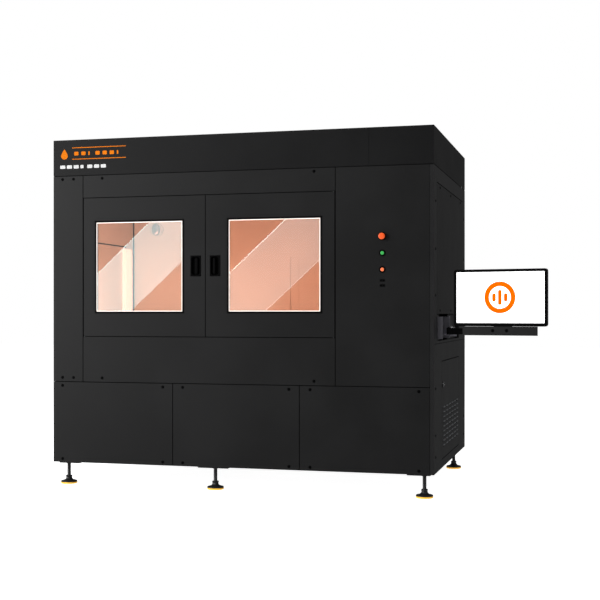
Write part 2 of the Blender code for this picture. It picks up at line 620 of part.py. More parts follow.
def make_access_door(z):
    pivot = (RIGHT - PIVOT_INSET, ACCESS_Y[1] - PIVOT_INSET, 0)
    axis = empty("access_door_axis", pivot, ORIGIN)
    door = pan("access_door", ACCESS_Y, z, ACCESS_THICKNESS, BODY_PAINT, RIGHT, "right", axis)
    middle_y = sum(ACCESS_Y) / 2
    first_y = middle_y - (LOUVRE_COLUMNS - 1) / 2 * LOUVRE_COLUMN_PITCH
    for row in range(LOUVRE_ROWS):
        low = LOUVRE_LEVEL + row * LOUVRE_ROW_PITCH
        for column in range(LOUVRE_COLUMNS):
            y = first_y + column * LOUVRE_COLUMN_PITCH
            slot = block(f"louvre_{row}_{column}", (RIGHT - 0.005, RIGHT + 0.005),
                         (y - LOUVRE_LENGTH / 2, y + LOUVRE_LENGTH / 2), levels(low, low + LOUVRE_HEIGHT), None,
                         parent=axis, helper=True)
            cut(door, slot)
    latch_y = ACCESS_Y[0] + LATCH_INSET
    centre = Vector((RIGHT, latch_y, above_floor(LATCH_LEVEL)))
    cut(door, rod("latch_hole", LATCH_SHAFT_RADIUS + TOUCH, 0.02, centre, "X", None, axis, helper=True, sides=24))
    latch_axis = empty("access_latch_axis", centre, axis)
    head = 0.006
    latch = rod("access_latch", LATCH_RADIUS, head, (head / 2 + TOUCH, 0, 0), "X", STEEL, latch_axis, local=True)
    cam_back = -ACCESS_THICKNESS - 0.001 - CAM_THICKNESS
    shaft_end = cam_back + 0.001
    shaft = rod("latch_shaft", LATCH_SHAFT_RADIUS, head / 2 - shaft_end, ((head / 2 + shaft_end) / 2, 0, 0), "X",
                None, latch_axis, helper=True, local=True, sides=24)
    half = LATCH_SHAFT_RADIUS + 0.002
    cam = block("latch_cam", (cam_back, cam_back + CAM_THICKNESS), (-half, half), (-half, CAM_REACH), None, latch_axis,
                helper=True, local=True)
    fuse(latch, shaft, cam)


def make_plain_sides():
    """The left side and the rear, which carry nothing but their fixing screws."""
    z = levels(0, HEADER_LEVEL - REVEAL)
    left_front = FRONT + PAN_DEPTH + 0.002
    pan("side_panel_left", (-(REAR - PAN_DEPTH - 0.002), -left_front), z, SIDE_PAN_DEPTH, BODY_PAINT, LEFT, "left")
    rear_z = levels(0, BODY_HEIGHT - PAN_DEPTH - 0.002)
    rear_x = (-(RIGHT - SIDE_PAN_DEPTH - 0.002), -(LEFT + SHEET + TOUCH))
    pan("rear_panel", rear_x, rear_z, PAN_DEPTH, BODY_PAINT, REAR, "rear")


# ---------------------------------------------------------------- front doors
PIN_X = {"left": BAY_LEFT + REVEAL / 2 + PIVOT_INSET, "right": BAY_RIGHT - REVEAL / 2 - PIVOT_INSET}
PIN_Y = FRONT + PIVOT_INSET


def make_door(side):
    """A hollow door with a window, its pane held between the two skins, a cup handle and a full-height pin."""
    sign = 1 if side == "left" else -1
    hinge_edge = BAY_LEFT + REVEAL / 2 if side == "left" else BAY_RIGHT - REVEAL / 2
    free_edge = hinge_edge + sign * DOOR_WIDTH
    z = levels(DOOR_LEVEL, DOOR_TOP)
    axis = empty(f"{side}_door_axis", (PIN_X[side], PIN_Y, 0), ORIGIN)
    x = tuple(sorted((hinge_edge, free_edge)))
    door = pan(f"{side}_door", x, z, DOOR_THICKNESS, BODY_PAINT, FRONT, "front", axis, closed=True)

    window_x = tuple(sorted((hinge_edge + sign * WINDOW_HINGE_MARGIN, free_edge - sign * WINDOW_HANDLE_MARGIN)))
    window_z = (z[0] + WINDOW_RAIL_MARGIN, z[1] - WINDOW_RAIL_MARGIN)
    through_y = (FRONT - 0.01, FRONT + DOOR_THICKNESS + 0.01)
    pane_x = (window_x[0] - GLASS_OVERLAP, window_x[1] + GLASS_OVERLAP)
    pane_z = (window_z[0] - GLASS_OVERLAP, window_z[1] + GLASS_OVERLAP)
    pane_y = (FRONT + SHEET + TOUCH, FRONT + SHEET + TOUCH + GLASS_THICKNESS)
    lining = block(f"{side}_window_lining", pane_x, (pane_y[1] + TOUCH, FRONT + DOOR_THICKNESS - SHEET / 2), pane_z,
                   None, axis, helper=True)
    fuse(door, lining)
    cut(door, block(f"{side}_window", window_x, through_y, window_z, None, axis, helper=True))
    block(f"{side}_door_glass", pane_x, pane_y, pane_z, AMBER_ACRYLIC, axis)

    handle_x = free_edge - sign * (HANDLE_FROM_EDGE + HANDLE_WIDTH / 2)
    middle_z = (z[0] + z[1]) / 2
    make_handle(side, door, axis, handle_x, middle_z)

    pin_centre = (PIN_X[side], PIN_Y, middle_z)
    hole = rod(f"{side}_door_pin_hole", PIN_RADIUS + TOUCH, DOOR_HEIGHT + 0.1, pin_centre, "Z", None, axis,
               helper=True, sides=16)
    cut(door, hole)
    rod(f"{side}_door_pin", PIN_RADIUS, DOOR_HEIGHT + 0.036, pin_centre, "Z", STEEL, sides=16)


def make_handle(side, door, axis, x, z):
    """A recessed cup pull set into the door's front skin."""
    half_width, half_height = HANDLE_WIDTH / 2, HANDLE_HEIGHT / 2
    outer_x, outer_z = (x - half_width, x + half_width), (z - half_height, z + half_height)
    hole_x = (outer_x[0] - TOUCH, outer_x[1] + TOUCH)
    hole_z = (outer_z[0] - TOUCH, outer_z[1] + TOUCH)
    cut(door, block(f"{side}_handle_hole", hole_x, (FRONT - 0.01, FRONT + SHEET + 0.005), hole_z, None, axis,
                    helper=True))
    cup = block(f"{side}_door_handle", outer_x, (FRONT - 0.002, FRONT + HANDLE_DEPTH), outer_z, BLACK_PLASTIC, axis)
    hollow = block(f"{side}_handle_hollow", (outer_x[0] + HANDLE_WALL * 2, outer_x[1] - HANDLE_WALL * 2),
                   (FRONT - 0.01, FRONT + HANDLE_DEPTH - HANDLE_WALL),
                   (outer_z[0] + HANDLE_WALL * 2, outer_z[1] - HANDLE_WALL * 2), None, axis, helper=True)
    cut(cup, hollow)
    free_side = -1 if side == "left" else 1
    grip_x = x - free_side * 0.006
    grip = block(f"{side}_handle_grip", (grip_x - 0.008, grip_x + 0.008), (FRONT - 0.001, FRONT + 0.004),
                 (outer_z[0] + 0.001, outer_z[1] - 0.001), None, axis, helper=True)
    fuse(cup, grip)


# ---------------------------------------------------------------- push buttons
def make_controls():
    stem_length = ESTOP_STAND_OFF + BUTTON_LENGTH
    stem_front = FRONT - ESTOP_STAND_OFF
    estop_z = above_floor(ESTOP_LEVEL)
    press = empty("estop_press_axis", (CONTROLS_X, FRONT, estop_z), ORIGIN)
    stem_centre = (CONTROLS_X, stem_front + stem_length / 2, estop_z)
    rod("estop_stem", ESTOP_STEM_RADIUS, stem_length, stem_centre, "Y", BLACK_PLASTIC, press, sides=24)
    twist = empty("estop_twist_axis", (CONTROLS_X, stem_front, estop_z), press)
    cap_centre = (CONTROLS_X, stem_front - TOUCH - ESTOP_CAP_HEIGHT / 2, estop_z)
    cap = rod("estop_cap", ESTOP_CAP_RADIUS, ESTOP_CAP_HEIGHT, cap_centre, "Y", RED_PLASTIC, twist)
    soften = cap.modifiers.new("rounded", "BEVEL")
    soften.width = 0.003
    soften.segments = 1
    for name, level, paint in (("start", START_LEVEL, GREEN_LENS), ("pause", PAUSE_LEVEL, ORANGE_LENS)):
        centre = (CONTROLS_X, FRONT - BUTTON_PROUD + BUTTON_LENGTH / 2, above_floor(level))
        axis = empty(f"{name}_button_axis", (CONTROLS_X, FRONT, above_floor(level)), ORIGIN)
        rod(f"{name}_button", BUTTON_RADIUS, BUTTON_LENGTH, centre, "Y", paint, axis, sides=24)


# ---------------------------------------------------------------- build chamber
def make_chamber():
    z = levels(DECK_LEVEL + TOUCH, CEILING_LEVEL - TOUCH)
    y = CHAMBER_Y
    block("chamber_wall_left", (CHAMBER_X[0] - CHAMBER_WALL, CHAMBER_X[0]), y, z, CHAMBER_WHITE)
    block("chamber_wall_right", (CHAMBER_X[1], CHAMBER_X[1] + CHAMBER_WALL), y, z, CHAMBER_WHITE)
    rear_x = (CHAMBER_X[0] - CHAMBER_WALL, CHAMBER_X[1] + CHAMBER_WALL)
    rear_y = (CHAMBER_Y[1] + TOUCH, CHAMBER_Y[1] + CHAMBER_WALL)
    rear = block("chamber_wall_rear", rear_x, rear_y, z, CHAMBER_WHITE)
    slot_z = levels(ARM_LEVEL - SLOT_CLEARANCE, ARM_LEVEL + ELEVATOR_TRAVEL + LEG_WIDTH + SLOT_CLEARANCE)
    for i, x in enumerate(fork_places()):
        half = LEG_WIDTH / 2 + SLOT_CLEARANCE
        cut(rear, block(f"elevator_slot_{i}", (x - half, x + half), (rear_y[0] - 0.05, rear_y[1] + 0.05), slot_z, None,
                        helper=True))
    ceiling_y = (CHAMBER_Y[0], CHAMBER_Y[1] + CHAMBER_WALL)
    ceiling = block("chamber_ceiling", rear_x, ceiling_y, levels(CEILING_LEVEL, CEILING_LEVEL + CEILING_THICKNESS),
                    ALUMINIUM)
    for side, x in scan_places():
        centre = (x, sum(PLATFORM_Y) / 2, above_floor(CEILING_LEVEL + CEILING_THICKNESS / 2))
        cut(ceiling, rod(f"scan_opening_{side}", SCAN_WINDOW_RADIUS, 0.1, centre, "Z", None, helper=True, sides=24))
        make_scan_head(side, x)
    opening_x = (VAT_X[0] + VAT_WALL - DECK_OVERHANG, VAT_X[1] - VAT_WALL + DECK_OVERHANG)
    opening_y = (VAT_Y[0] + VAT_WALL - DECK_OVERHANG, VAT_Y[1] - VAT_WALL + DECK_OVERHANG)
    deck = block("work_deck", rear_x, ceiling_y, levels(DECK_LEVEL - DECK_THICKNESS, DECK_LEVEL), STAINLESS)
    cut(deck, block("deck_opening", opening_x, opening_y, levels(DECK_LEVEL - 0.1, DECK_LEVEL + 0.1), None,
                    helper=True))


def fork_places():
    return (PLATFORM_CENTRE_X - FORK_SPACING / 2, PLATFORM_CENTRE_X + FORK_SPACING / 2)


def scan_places():
    return (("left", PLATFORM_CENTRE_X - SCAN_HEAD_SPACING / 2), ("right", PLATFORM_CENTRE_X + SCAN_HEAD_SPACING / 2))


def make_scan_head(side, x):
    """A laser and its mirror housing in one casing, over a round opening in the ceiling."""
    width, length, height = SCAN_HEAD_SIZE
    base = CEILING_LEVEL + CEILING_THICKNESS + TOUCH
    centre_y = sum(PLATFORM_Y) / 2
    front_y = centre_y - length / 2 + SCAN_HEAD_SHIFT
    head = block(f"scan_head_{side}", (x - width / 2, x + width / 2), (front_y, front_y + length * 0.55),
                 levels(base, base + height), ALUMINIUM)
    laser = block(f"laser_tube_{side}", (x - width * 0.3, x + width * 0.3), (front_y + length * 0.5, front_y + length),
                  levels(base + 0.002, base + height * 0.6), None, helper=True)
    neck = rod(f"laser_aperture_{side}", SCAN_WINDOW_RADIUS * 0.6, height, (x, centre_y, above_floor(base)), "Z", None,
               helper=True, sides=24)
    cut(fuse(head, laser), neck)


# ---------------------------------------------------------------- vat and elevator
def make_vat():
    x, y = VAT_X, VAT_Y
    top = DECK_LEVEL - DECK_THICKNESS - TOUCH
    vat = block("resin_vat", x, y, levels(VAT_BOTTOM, top), STAINLESS)
    cut(vat, block("vat_inside", (x[0] + VAT_WALL, x[1] - VAT_WALL), (y[0] + VAT_WALL, y[1] - VAT_WALL),
                   levels(VAT_BOTTOM + VAT_WALL, top + 0.1), None, helper=True))


def make_elevator():
    """Column with two rails, screw and motor behind the chamber, and the forked carriage that carries the platform."""
    column_x = (PLATFORM_CENTRE_X - COLUMN_WIDTH / 2, PLATFORM_CENTRE_X + COLUMN_WIDTH / 2)
    column = block("z_column", column_x, COLUMN_Y, levels(VAT_BOTTOM, COLUMN_TOP), FRAME_PAINT)
    rail_y = (COLUMN_Y[0] - Z_RAIL_DEPTH, COLUMN_Y[0] + 0.005)
    for i, x in enumerate((column_x[0] + Z_RAIL_INSET, column_x[1] - Z_RAIL_INSET)):
        rail_x = (x - Z_RAIL_WIDTH / 2, x + Z_RAIL_WIDTH / 2)
        fuse(column, block(f"z_rail_{i}", rail_x, rail_y, levels(*RAIL_LEVELS), None, helper=True))
    lift = empty("elevator_axis", (PLATFORM_CENTRE_X, CARRIAGE_Y[0], above_floor(ARM_LEVEL)), ORIGIN)
    carriage_x = (column_x[0] - CARRIAGE_OVERHANG, column_x[1] + CARRIAGE_OVERHANG)
    carriage_z = levels(CARRIAGE_LEVEL, CARRIAGE_LEVEL + CARRIAGE_HEIGHT)
    carriage = block("z_carriage", carriage_x, CARRIAGE_Y, carriage_z, ALUMINIUM, lift)
    for i, x in enumerate(fork_places()):
        half = LEG_WIDTH / 2
        arm = block(f"fork_arm_{i}", (x - half, x + half), (LEG_Y[0] + 0.002, CARRIAGE_Y[0] + 0.01),
                    levels(ARM_LEVEL, ARM_LEVEL + LEG_WIDTH), None, lift, helper=True)
        leg = block(f"fork_leg_{i}", (x - half + 0.001, x + half - 0.001), LEG_Y,
                    levels(FORK_BOTTOM + 0.001, ARM_LEVEL + LEG_WIDTH - 0.001), None, lift, helper=True)
        tine = block(f"fork_tine_{i}", (x - half, x + half), (PLATFORM_Y[0] + 0.05, LEG_Y[1] - 0.002),
                     levels(FORK_BOTTOM, FORK_BOTTOM + FORK_BEAM_HEIGHT), None, lift, helper=True)
        fuse(carriage, arm, leg, tine)
    block("build_platform", PLATFORM_X, PLATFORM_Y, levels(PLATFORM_TOP - PLATFORM_THICKNESS, PLATFORM_TOP),
          STAINLESS, lift)
    make_screw(carriage, lift)


def make_screw(carriage, lift):
    """The vertical ball screw, which passes through the carriage's nut, and its motor."""
    screw_y = sum(CARRIAGE_Y) / 2
    bottom, top = RAIL_LEVELS[0] - 0.03, RAIL_LEVELS[1] + 0.03
    centre = (PLATFORM_CENTRE_X, screw_y, above_floor((bottom + top) / 2))
    nut_side = SCREW_RADIUS * 2.2
    nut = block("z_nut", (PLATFORM_CENTRE_X - nut_side, PLATFORM_CENTRE_X + nut_side),
                (CARRIAGE_Y[0] - 0.022, COLUMN_Y[0] - 0.003),
                levels(CARRIAGE_LEVEL + 0.06, CARRIAGE_LEVEL + CARRIAGE_HEIGHT - 0.06), None, lift, helper=True)
    bore = rod("z_nut_bore", SCREW_RADIUS + NUT_CLEARANCE, 1.0, centre, "Z", None, lift, helper=True, sides=24)
    cut(fuse(carriage, nut), bore)
    axis = empty("z_screw_axis", centre, ORIGIN)
    rod("z_screw", SCREW_RADIUS, top - bottom, centre, "Z", STEEL, axis, sides=24)
    motor_z = levels(top + TOUCH, top + TOUCH + MOTOR_HEIGHT)
    half = MOTOR_SIDE / 2
    motor = block("z_motor", (PLATFORM_CENTRE_X - half, PLATFORM_CENTRE_X + half),
                  (screw_y - half, screw_y + half), motor_z, BLACK_PLASTIC)
    chamfer = motor.modifiers.new("corners", "BEVEL")
    chamfer.width = 0.006
    chamfer.segments = 1


# ---------------------------------------------------------------- recoater
def make_recoater():
    rail_y = (CHAMBER_Y[0] + 0.02, CHAMBER_Y[1] - 0.02)
    rail_z = levels(DECK_LEVEL + TOUCH, DECK_LEVEL + TOUCH + Y_RAIL_HEIGHT)
    rails = {"left": CHAMBER_X[0] + Y_RAIL_INSET, "right": CHAMBER_X[1] - Y_RAIL_INSET}
    for side, x in rails.items():
        block(f"recoater_rail_{side}", (x - Y_RAIL_WIDTH / 2, x + Y_RAIL_WIDTH / 2), rail_y, rail_z, STEEL)
    start_y = VAT_Y[0] + VAT_WALL + RECOATER_START
    beam_low = DECK_LEVEL + Y_RAIL_HEIGHT + 2 * TOUCH
    slide = empty("recoater_axis", (PLATFORM_CENTRE_X, start_y, above_floor(beam_low)), ORIGIN)
    beam_y = (start_y - BEAM_DEPTH / 2, start_y + BEAM_DEPTH / 2)
    beam_x = (rails["left"] - Y_RAIL_WIDTH, rails["right"] + Y_RAIL_WIDTH)
    beam = block("recoater_beam", beam_x, beam_y, levels(beam_low, beam_low + BEAM_HEIGHT), ALUMINIUM, slide)
    for side, x in rails.items():
        for end, sign in (("outer", -1), ("inner", 1)):
            inner_edge = x + sign * (Y_RAIL_WIDTH / 2 + 0.001)
            jaw_x = tuple(sorted((inner_edge, x + sign * Y_RAIL_WIDTH)))
            jaw = block(f"shoe_{side}_{end}", (jaw_x[0] + 0.0002, jaw_x[1] - 0.0002),
                        (beam_y[0] + 0.002, beam_y[1] - 0.002),
                        levels(DECK_LEVEL + 0.004, beam_low + 0.01), None, slide, helper=True)
            fuse(beam, jaw)
    blade_x = (VAT_X[0] + VAT_WALL + 0.006, VAT_X[1] - VAT_WALL - 0.006)
    block("recoater_blade", blade_x, (start_y - BLADE_THICKNESS / 2, start_y + BLADE_THICKNESS / 2),
          levels(DECK_LEVEL - BLADE_BELOW_DECK, beam_low - TOUCH), STEEL, slide)


def make_controller():
    length, height = CONTROLLER_SIZE[1:]
    low = CONTROLLER_BEARER_TOP + TOUCH
    block("controller_box", CONTROLLER_X, (-length / 2, length / 2), levels(low, low + height), ALUMINIUM)


# ---------------------------------------------------------------- monitor arm
def link(name, start, heading, length, level, parent):
    """A flat bar with round ends between two vertical pivots."""
    direction = Vector((math.cos(math.radians(heading)), math.sin(math.radians(heading)), 0))
    middle_z = above_floor(level + LINK_HEIGHT / 2)
    bar = mesh_object(name, cube_shape((length, 2 * LINK_RADIUS - 0.004, LINK_HEIGHT - 0.001)), BODY_PAINT)
    centre = Vector((start.x, start.y, middle_z)) + direction * length / 2
    attach(bar, parent, centre)
    bar.rotation_euler.z = math.radians(heading)
    for end, distance in (("root", 0), ("tip", length)):
        point = Vector((start.x, start.y, middle_z)) + direction * distance
        fuse(bar, rod(f"{name}_{end}", LINK_RADIUS, LINK_HEIGHT, point, "Z", None, parent, helper=True, sides=24))
    return start + direction * length


def make_arm():
    pivot = Vector((RIGHT + ARM_PIVOT_OUT, FRONT + ARM_PIVOT_BACK, 0))
    make_arm_bracket(pivot)
    base = empty("arm_base_axis", pivot, ORIGIN)
    elbow_point = link("arm_link_lower", pivot, LOWER_LINK_HEADING, LOWER_LINK_LENGTH, LINK_LEVEL, base)
    elbow = empty("arm_elbow_axis", elbow_point, base)
    upper_level = LINK_LEVEL + LINK_HEIGHT + 0.001
    pan_point = link("arm_link_upper", elbow_point, UPPER_LINK_HEADING, UPPER_LINK_LENGTH, upper_level, elbow)
    head = empty("monitor_pan_axis", pan_point, elbow, MONITOR_YAW)
    make_head(head, upper_level + LINK_HEIGHT + 0.001)
    make_monitor(head)
    make_tray(head)


def make_arm_bracket(pivot):
    """An aluminium bracket in the side pocket: back plate, two upright ends and a shelf under the arm's pivot."""
    y0 = FRONT + POCKET_FRONT_MARGIN + 0.006
    y1 = pivot.y + LINK_RADIUS + 0.020
    back_x = (RIGHT - POCKET_DEPTH + TOUCH, RIGHT - POCKET_DEPTH + TOUCH + BRACKET_PLATE)
    z = levels(POCKET_LEVEL + 0.012, POCKET_LEVEL + POCKET_HEIGHT - 0.012)
    bracket = block("arm_bracket", back_x, (y0, y1), z, ALUMINIUM)
    end_x = (back_x[0] + 0.002, RIGHT + BRACKET_END_WIDTH)
    for i, y in enumerate((y0, y1 - BRACKET_PLATE)):
        fuse(bracket, block(f"bracket_end_{i}", end_x, (y + 0.0005, y + BRACKET_PLATE - 0.0005),
                            (z[0] + 0.0005, z[1] - 0.0005), None, helper=True))
    shelf_z = levels(LINK_LEVEL - 0.001 - BRACKET_SHELF, LINK_LEVEL - 0.001)
    shelf_x = (back_x[0] + 0.001, RIGHT + ARM_PIVOT_OUT)
    shelf = block("bracket_shelf", shelf_x, (pivot.y - LINK_RADIUS - 0.006, y1 - 0.001), shelf_z, None, helper=True)
    nose_centre = (pivot.x, pivot.y, sum(shelf_z) / 2)
    nose = rod("bracket_nose", LINK_RADIUS + 0.004, BRACKET_SHELF - 0.001, nose_centre, "Z", None, helper=True,
               sides=24)
    fuse(bracket, shelf, nose)


def mirrored(side, inner, outer):
    """A span on the left (side = -1) or right (side = 1) of a middle plane."""
    return tuple(sorted((side * inner, side * outer)))


def make_head(head, level):
    """The pan head: a boss on the upper link, an upright plate behind the monitor and two runners for the tray."""
    boss_z = levels(level, level + 0.05)
    upright_y = (-HEAD_BACK - HEAD_PLATE, -HEAD_BACK)
    boss = rod("arm_head", LINK_RADIUS, 0.05, (0, 0, sum(boss_z) / 2), "Z", BODY_PAINT, head, local=True, sides=24)
    bridge = block("head_bridge", (-0.022, 0.022), (upright_y[0] + 0.001, 0), (boss_z[0] + 0.002, boss_z[1] - 0.002),
                   None, head, helper=True, local=True)
    plate_bottom = TRAY_LEVEL - RUNNER_TOP + HOOK_SHEET + 0.002
    plate = block("head_plate", (-0.055, 0.055), upright_y,
                  levels(plate_bottom, MONITOR_LEVEL + 0.055), None, head, helper=True, local=True)
    fuse(boss, bridge, plate)
    tilt_y, tilt_z = upright_y[0] - KNUCKLE_OUT, above_floor(MONITOR_LEVEL)
    for i, x in enumerate((-CHEEK_SPACING - CHEEK_THICKNESS, CHEEK_SPACING)):
        fuse(boss, block(f"tilt_cheek_{i}", (x, x + CHEEK_THICKNESS), (tilt_y - KNUCKLE_RADIUS, upright_y[0] + 0.001),
                         (tilt_z - KNUCKLE_RADIUS, tilt_z + KNUCKLE_RADIUS), None, head, helper=True, local=True))
    cut(boss, rod("tilt_pin_bore", TILT_PIN_RADIUS + TOUCH, 0.2, (0, tilt_y, tilt_z), "X", None, head, helper=True,
                  local=True, sides=24))
    runner_y = (-MONITOR_FORWARD + TRAY_AHEAD_OF_MONITOR, RUNNER_BACK)
    for i, side in enumerate((-1, 1)):
        runner = block(f"tray_runner_{i}", mirrored(side, RUNNER_INNER, RUNNER_OUTER), runner_y,
                       levels(TRAY_LEVEL - RUNNER_TOP - RUNNER_HEIGHT, TRAY_LEVEL - RUNNER_TOP), None, head,
                       helper=True, local=True)
        rib = block(f"tray_rib_{i}", mirrored(side, RUNNER_INNER + 0.001, RUNNER_INNER + 0.008),
                    (runner_y[0] + 0.0005, upright_y[1] - 0.0005),
                    levels(TRAY_LEVEL - RUNNER_TOP - 0.001, plate_bottom + 0.001), None, head, helper=True, local=True)
        fuse(boss, runner, rib)


def make_monitor(head):
    """A flat monitor that tilts on the head's upright plate. Its local frame has -Y towards the viewer."""
    middle = above_floor(MONITOR_LEVEL)
    tilt = empty("monitor_tilt_axis", (0, 0, 0), head)
    tilt.location = (0, -HEAD_BACK - HEAD_PLATE - KNUCKLE_OUT, middle)
    bpy.context.view_layer.update()
    front_y = -MONITOR_FORWARD - tilt.location.y
    half_width, half_height = MONITOR_WIDTH / 2, MONITOR_HEIGHT / 2
    housing = mesh_object("monitor_housing", cube_shape((MONITOR_WIDTH, MONITOR_DEPTH, MONITOR_HEIGHT)),
                          BLACK_PLASTIC)
    attach(housing, tilt, (0, front_y + MONITOR_DEPTH / 2, 0), local=True)
    round_corners(housing, MONITOR_CORNER, "Y")
    back = block("monitor_back", (-half_width * 0.6, half_width * 0.6),
                 (front_y + MONITOR_DEPTH - 0.004, front_y + MONITOR_DEPTH + MONITOR_BULGE),
                 (-half_height * 0.6, half_height * 0.6), None, tilt, helper=True, local=True)
    recess = block("screen_recess", (-SCREEN_WIDTH / 2 - TOUCH, SCREEN_WIDTH / 2 + TOUCH),
                   (front_y - 0.01, front_y + SCREEN_THICKNESS + SCREEN_RISE),
                   (-SCREEN_HEIGHT / 2 - TOUCH + SCREEN_RISE, SCREEN_HEIGHT / 2 + TOUCH + SCREEN_RISE), None, tilt,
                   helper=True, local=True)
    neck_y = (front_y + MONITOR_DEPTH + 0.002, 0)
    half_neck = CHEEK_SPACING - 0.002
    neck = block("tilt_neck", (-half_neck + 0.001, half_neck - 0.001), neck_y, (-0.007, 0.007), None, tilt,
                 helper=True, local=True)
    knuckle = rod("tilt_knuckle", KNUCKLE_RADIUS, 2 * half_neck, (0, 0, 0), "X", None, tilt, helper=True, local=True,
                  sides=24)
    pin = rod("tilt_pin", TILT_PIN_RADIUS, 2 * (CHEEK_SPACING + CHEEK_THICKNESS), (0, 0, 0), "X", None, tilt,
              helper=True, local=True, sides=24)
    fuse(housing, back, neck, knuckle, pin)
    cut(housing, recess)
    block("monitor_screen", (-SCREEN_WIDTH / 2, SCREEN_WIDTH / 2),
          (front_y + SCREEN_RISE - TOUCH, front_y + SCREEN_THICKNESS + SCREEN_RISE - TOUCH),
          (-SCREEN_HEIGHT / 2 + SCREEN_RISE, SCREEN_HEIGHT / 2 + SCREEN_RISE), SCREEN_GLASS, tilt, local=True)


def round_corners(obj, radius, axis):
    """Bevels the four edges of a box that run along that axis."""
    index = "XYZ".index(axis)
    shape = bmesh.new()
    shape.from_mesh(obj.data)
    along = [e for e in shape.edges if abs((e.verts[0].co - e.verts[1].co).normalized()[index]) > 0.99]
    bmesh.ops.bevel(shape, geom=along, offset=radius, segments=4, profile=0.5, affect="EDGES")
    shape.to_mesh(obj.data)
    shape.free()


def make_tray(head):
    """A pull-out keyboard tray with a deep front lip; two hooks at its back hang it on the head's runners."""
    slide = empty("tray_slide_axis", (0, 0, 0), head)
    slide.location = (0, -MONITOR_FORWARD - TRAY_AHEAD_OF_MONITOR, above_floor(TRAY_LEVEL))
    bpy.context.view_layer.update()
    half = TRAY_WIDTH / 2
    floor_z = (-TRAY_LIP, -TRAY_LIP + TRAY_SHEET)
    tray = block("keyboard_tray", (-half, half), (0, TRAY_SHEET), (floor_z[0], 0), BODY_PAINT, slide, local=True)
    floor_half = TRAY_FLOOR_WIDTH / 2
    sheet = block("tray_floor", (-floor_half, floor_half), (0.0005, TRAY_LENGTH),
                  (floor_z[0] + 0.0002, floor_z[1]), None, slide, helper=True, local=True)
    fuse(tray, sheet)
    hook_x = RUNNER_OUTER + 0.0005
    hook_y = (TRAY_LENGTH - 0.001 - HOOK_LENGTH, TRAY_LENGTH - 0.001)
    for i, side in enumerate((-1, 1)):
        wall = block(f"tray_return_{i}", mirrored(side, floor_half - TRAY_SHEET, floor_half - 0.0004),
                     (0.001, TRAY_LENGTH - 0.0004), (floor_z[0] + 0.0004, floor_z[0] + TRAY_RETURN), None, slide,
                     helper=True, local=True)
        web = block(f"hook_web_{i}", mirrored(side, hook_x, hook_x + HOOK_SHEET), hook_y,
                    (floor_z[1] - 0.001, -RUNNER_TOP + TOUCH + HOOK_SHEET), None, slide, helper=True, local=True)
        flange = block(f"hook_flange_{i}", mirrored(side, RUNNER_INNER + 0.010, hook_x + HOOK_SHEET - 0.0005),
                       (hook_y[0] + 0.0005, hook_y[1] - 0.0005), (-RUNNER_TOP + TOUCH, -RUNNER_TOP + HOOK_SHEET),
                       None, slide, helper=True, local=True)
        fuse(tray, wall, web, flange)


# ---------------------------------------------------------------- the whole machine
def shape_bounds():
    """Lowest and highest corner of every part, as the modifiers leave it."""
    bpy.context.view_layer.update()
    graph = bpy.context.evaluated_depsgraph_get()
    corners = []
    for obj in PARTS.objects:
        if obj.type == "MESH":
            shown = obj.evaluated_get(graph)
            corners += [shown.matrix_world @ Vector(corner) for corner in shown.bound_box]
    low = Vector([min(c[i] for c in corners) for i in range(3)])
    high = Vector([max(c[i] for c in corners) for i in range(3)])
    return low, high


def main():
    make_feet()
    make_frame()
    control_x, control_z = make_front_panels()
    make_control_panel(control_x, control_z)
    make_header()
    make_right_side()
    make_plain_sides()
    for side in ("left", "right"):
        make_door(side)
    make_controls()
    make_chamber()
    make_vat()
    make_elevator()
    make_recoater()
    make_controller()
    make_arm()
    low, high = shape_bounds()
    ORIGIN.location = (-(low.x + high.x) / 2, -(low.y + high.y) / 2, 0)


main()
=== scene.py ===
"""Large laser resin printer: finishes, fittings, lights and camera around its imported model."""

import json
import math

import bmesh
import bpy
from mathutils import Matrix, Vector

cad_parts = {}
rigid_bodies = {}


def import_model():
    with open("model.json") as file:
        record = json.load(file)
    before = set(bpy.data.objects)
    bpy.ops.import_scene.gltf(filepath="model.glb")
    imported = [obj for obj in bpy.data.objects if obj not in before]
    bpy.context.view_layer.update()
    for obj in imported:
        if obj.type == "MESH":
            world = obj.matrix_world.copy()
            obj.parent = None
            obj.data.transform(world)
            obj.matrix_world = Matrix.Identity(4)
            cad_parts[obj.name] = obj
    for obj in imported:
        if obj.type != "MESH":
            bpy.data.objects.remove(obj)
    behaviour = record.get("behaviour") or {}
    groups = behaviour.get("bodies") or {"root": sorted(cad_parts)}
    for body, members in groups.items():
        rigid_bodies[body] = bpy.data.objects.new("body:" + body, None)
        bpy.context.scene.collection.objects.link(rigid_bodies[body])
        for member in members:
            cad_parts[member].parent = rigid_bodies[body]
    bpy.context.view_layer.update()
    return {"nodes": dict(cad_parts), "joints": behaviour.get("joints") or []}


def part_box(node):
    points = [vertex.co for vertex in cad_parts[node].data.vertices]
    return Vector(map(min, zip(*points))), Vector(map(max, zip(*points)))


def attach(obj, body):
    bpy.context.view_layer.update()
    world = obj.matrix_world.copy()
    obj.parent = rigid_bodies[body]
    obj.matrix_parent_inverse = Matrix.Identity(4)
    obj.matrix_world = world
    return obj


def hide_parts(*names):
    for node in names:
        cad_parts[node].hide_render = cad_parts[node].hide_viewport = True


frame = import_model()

NODES = frame["nodes"]


# ---------------------------------------------------------------- where things are
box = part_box


def middle(node):
    low, high = box(node)
    return (low + high) / 2


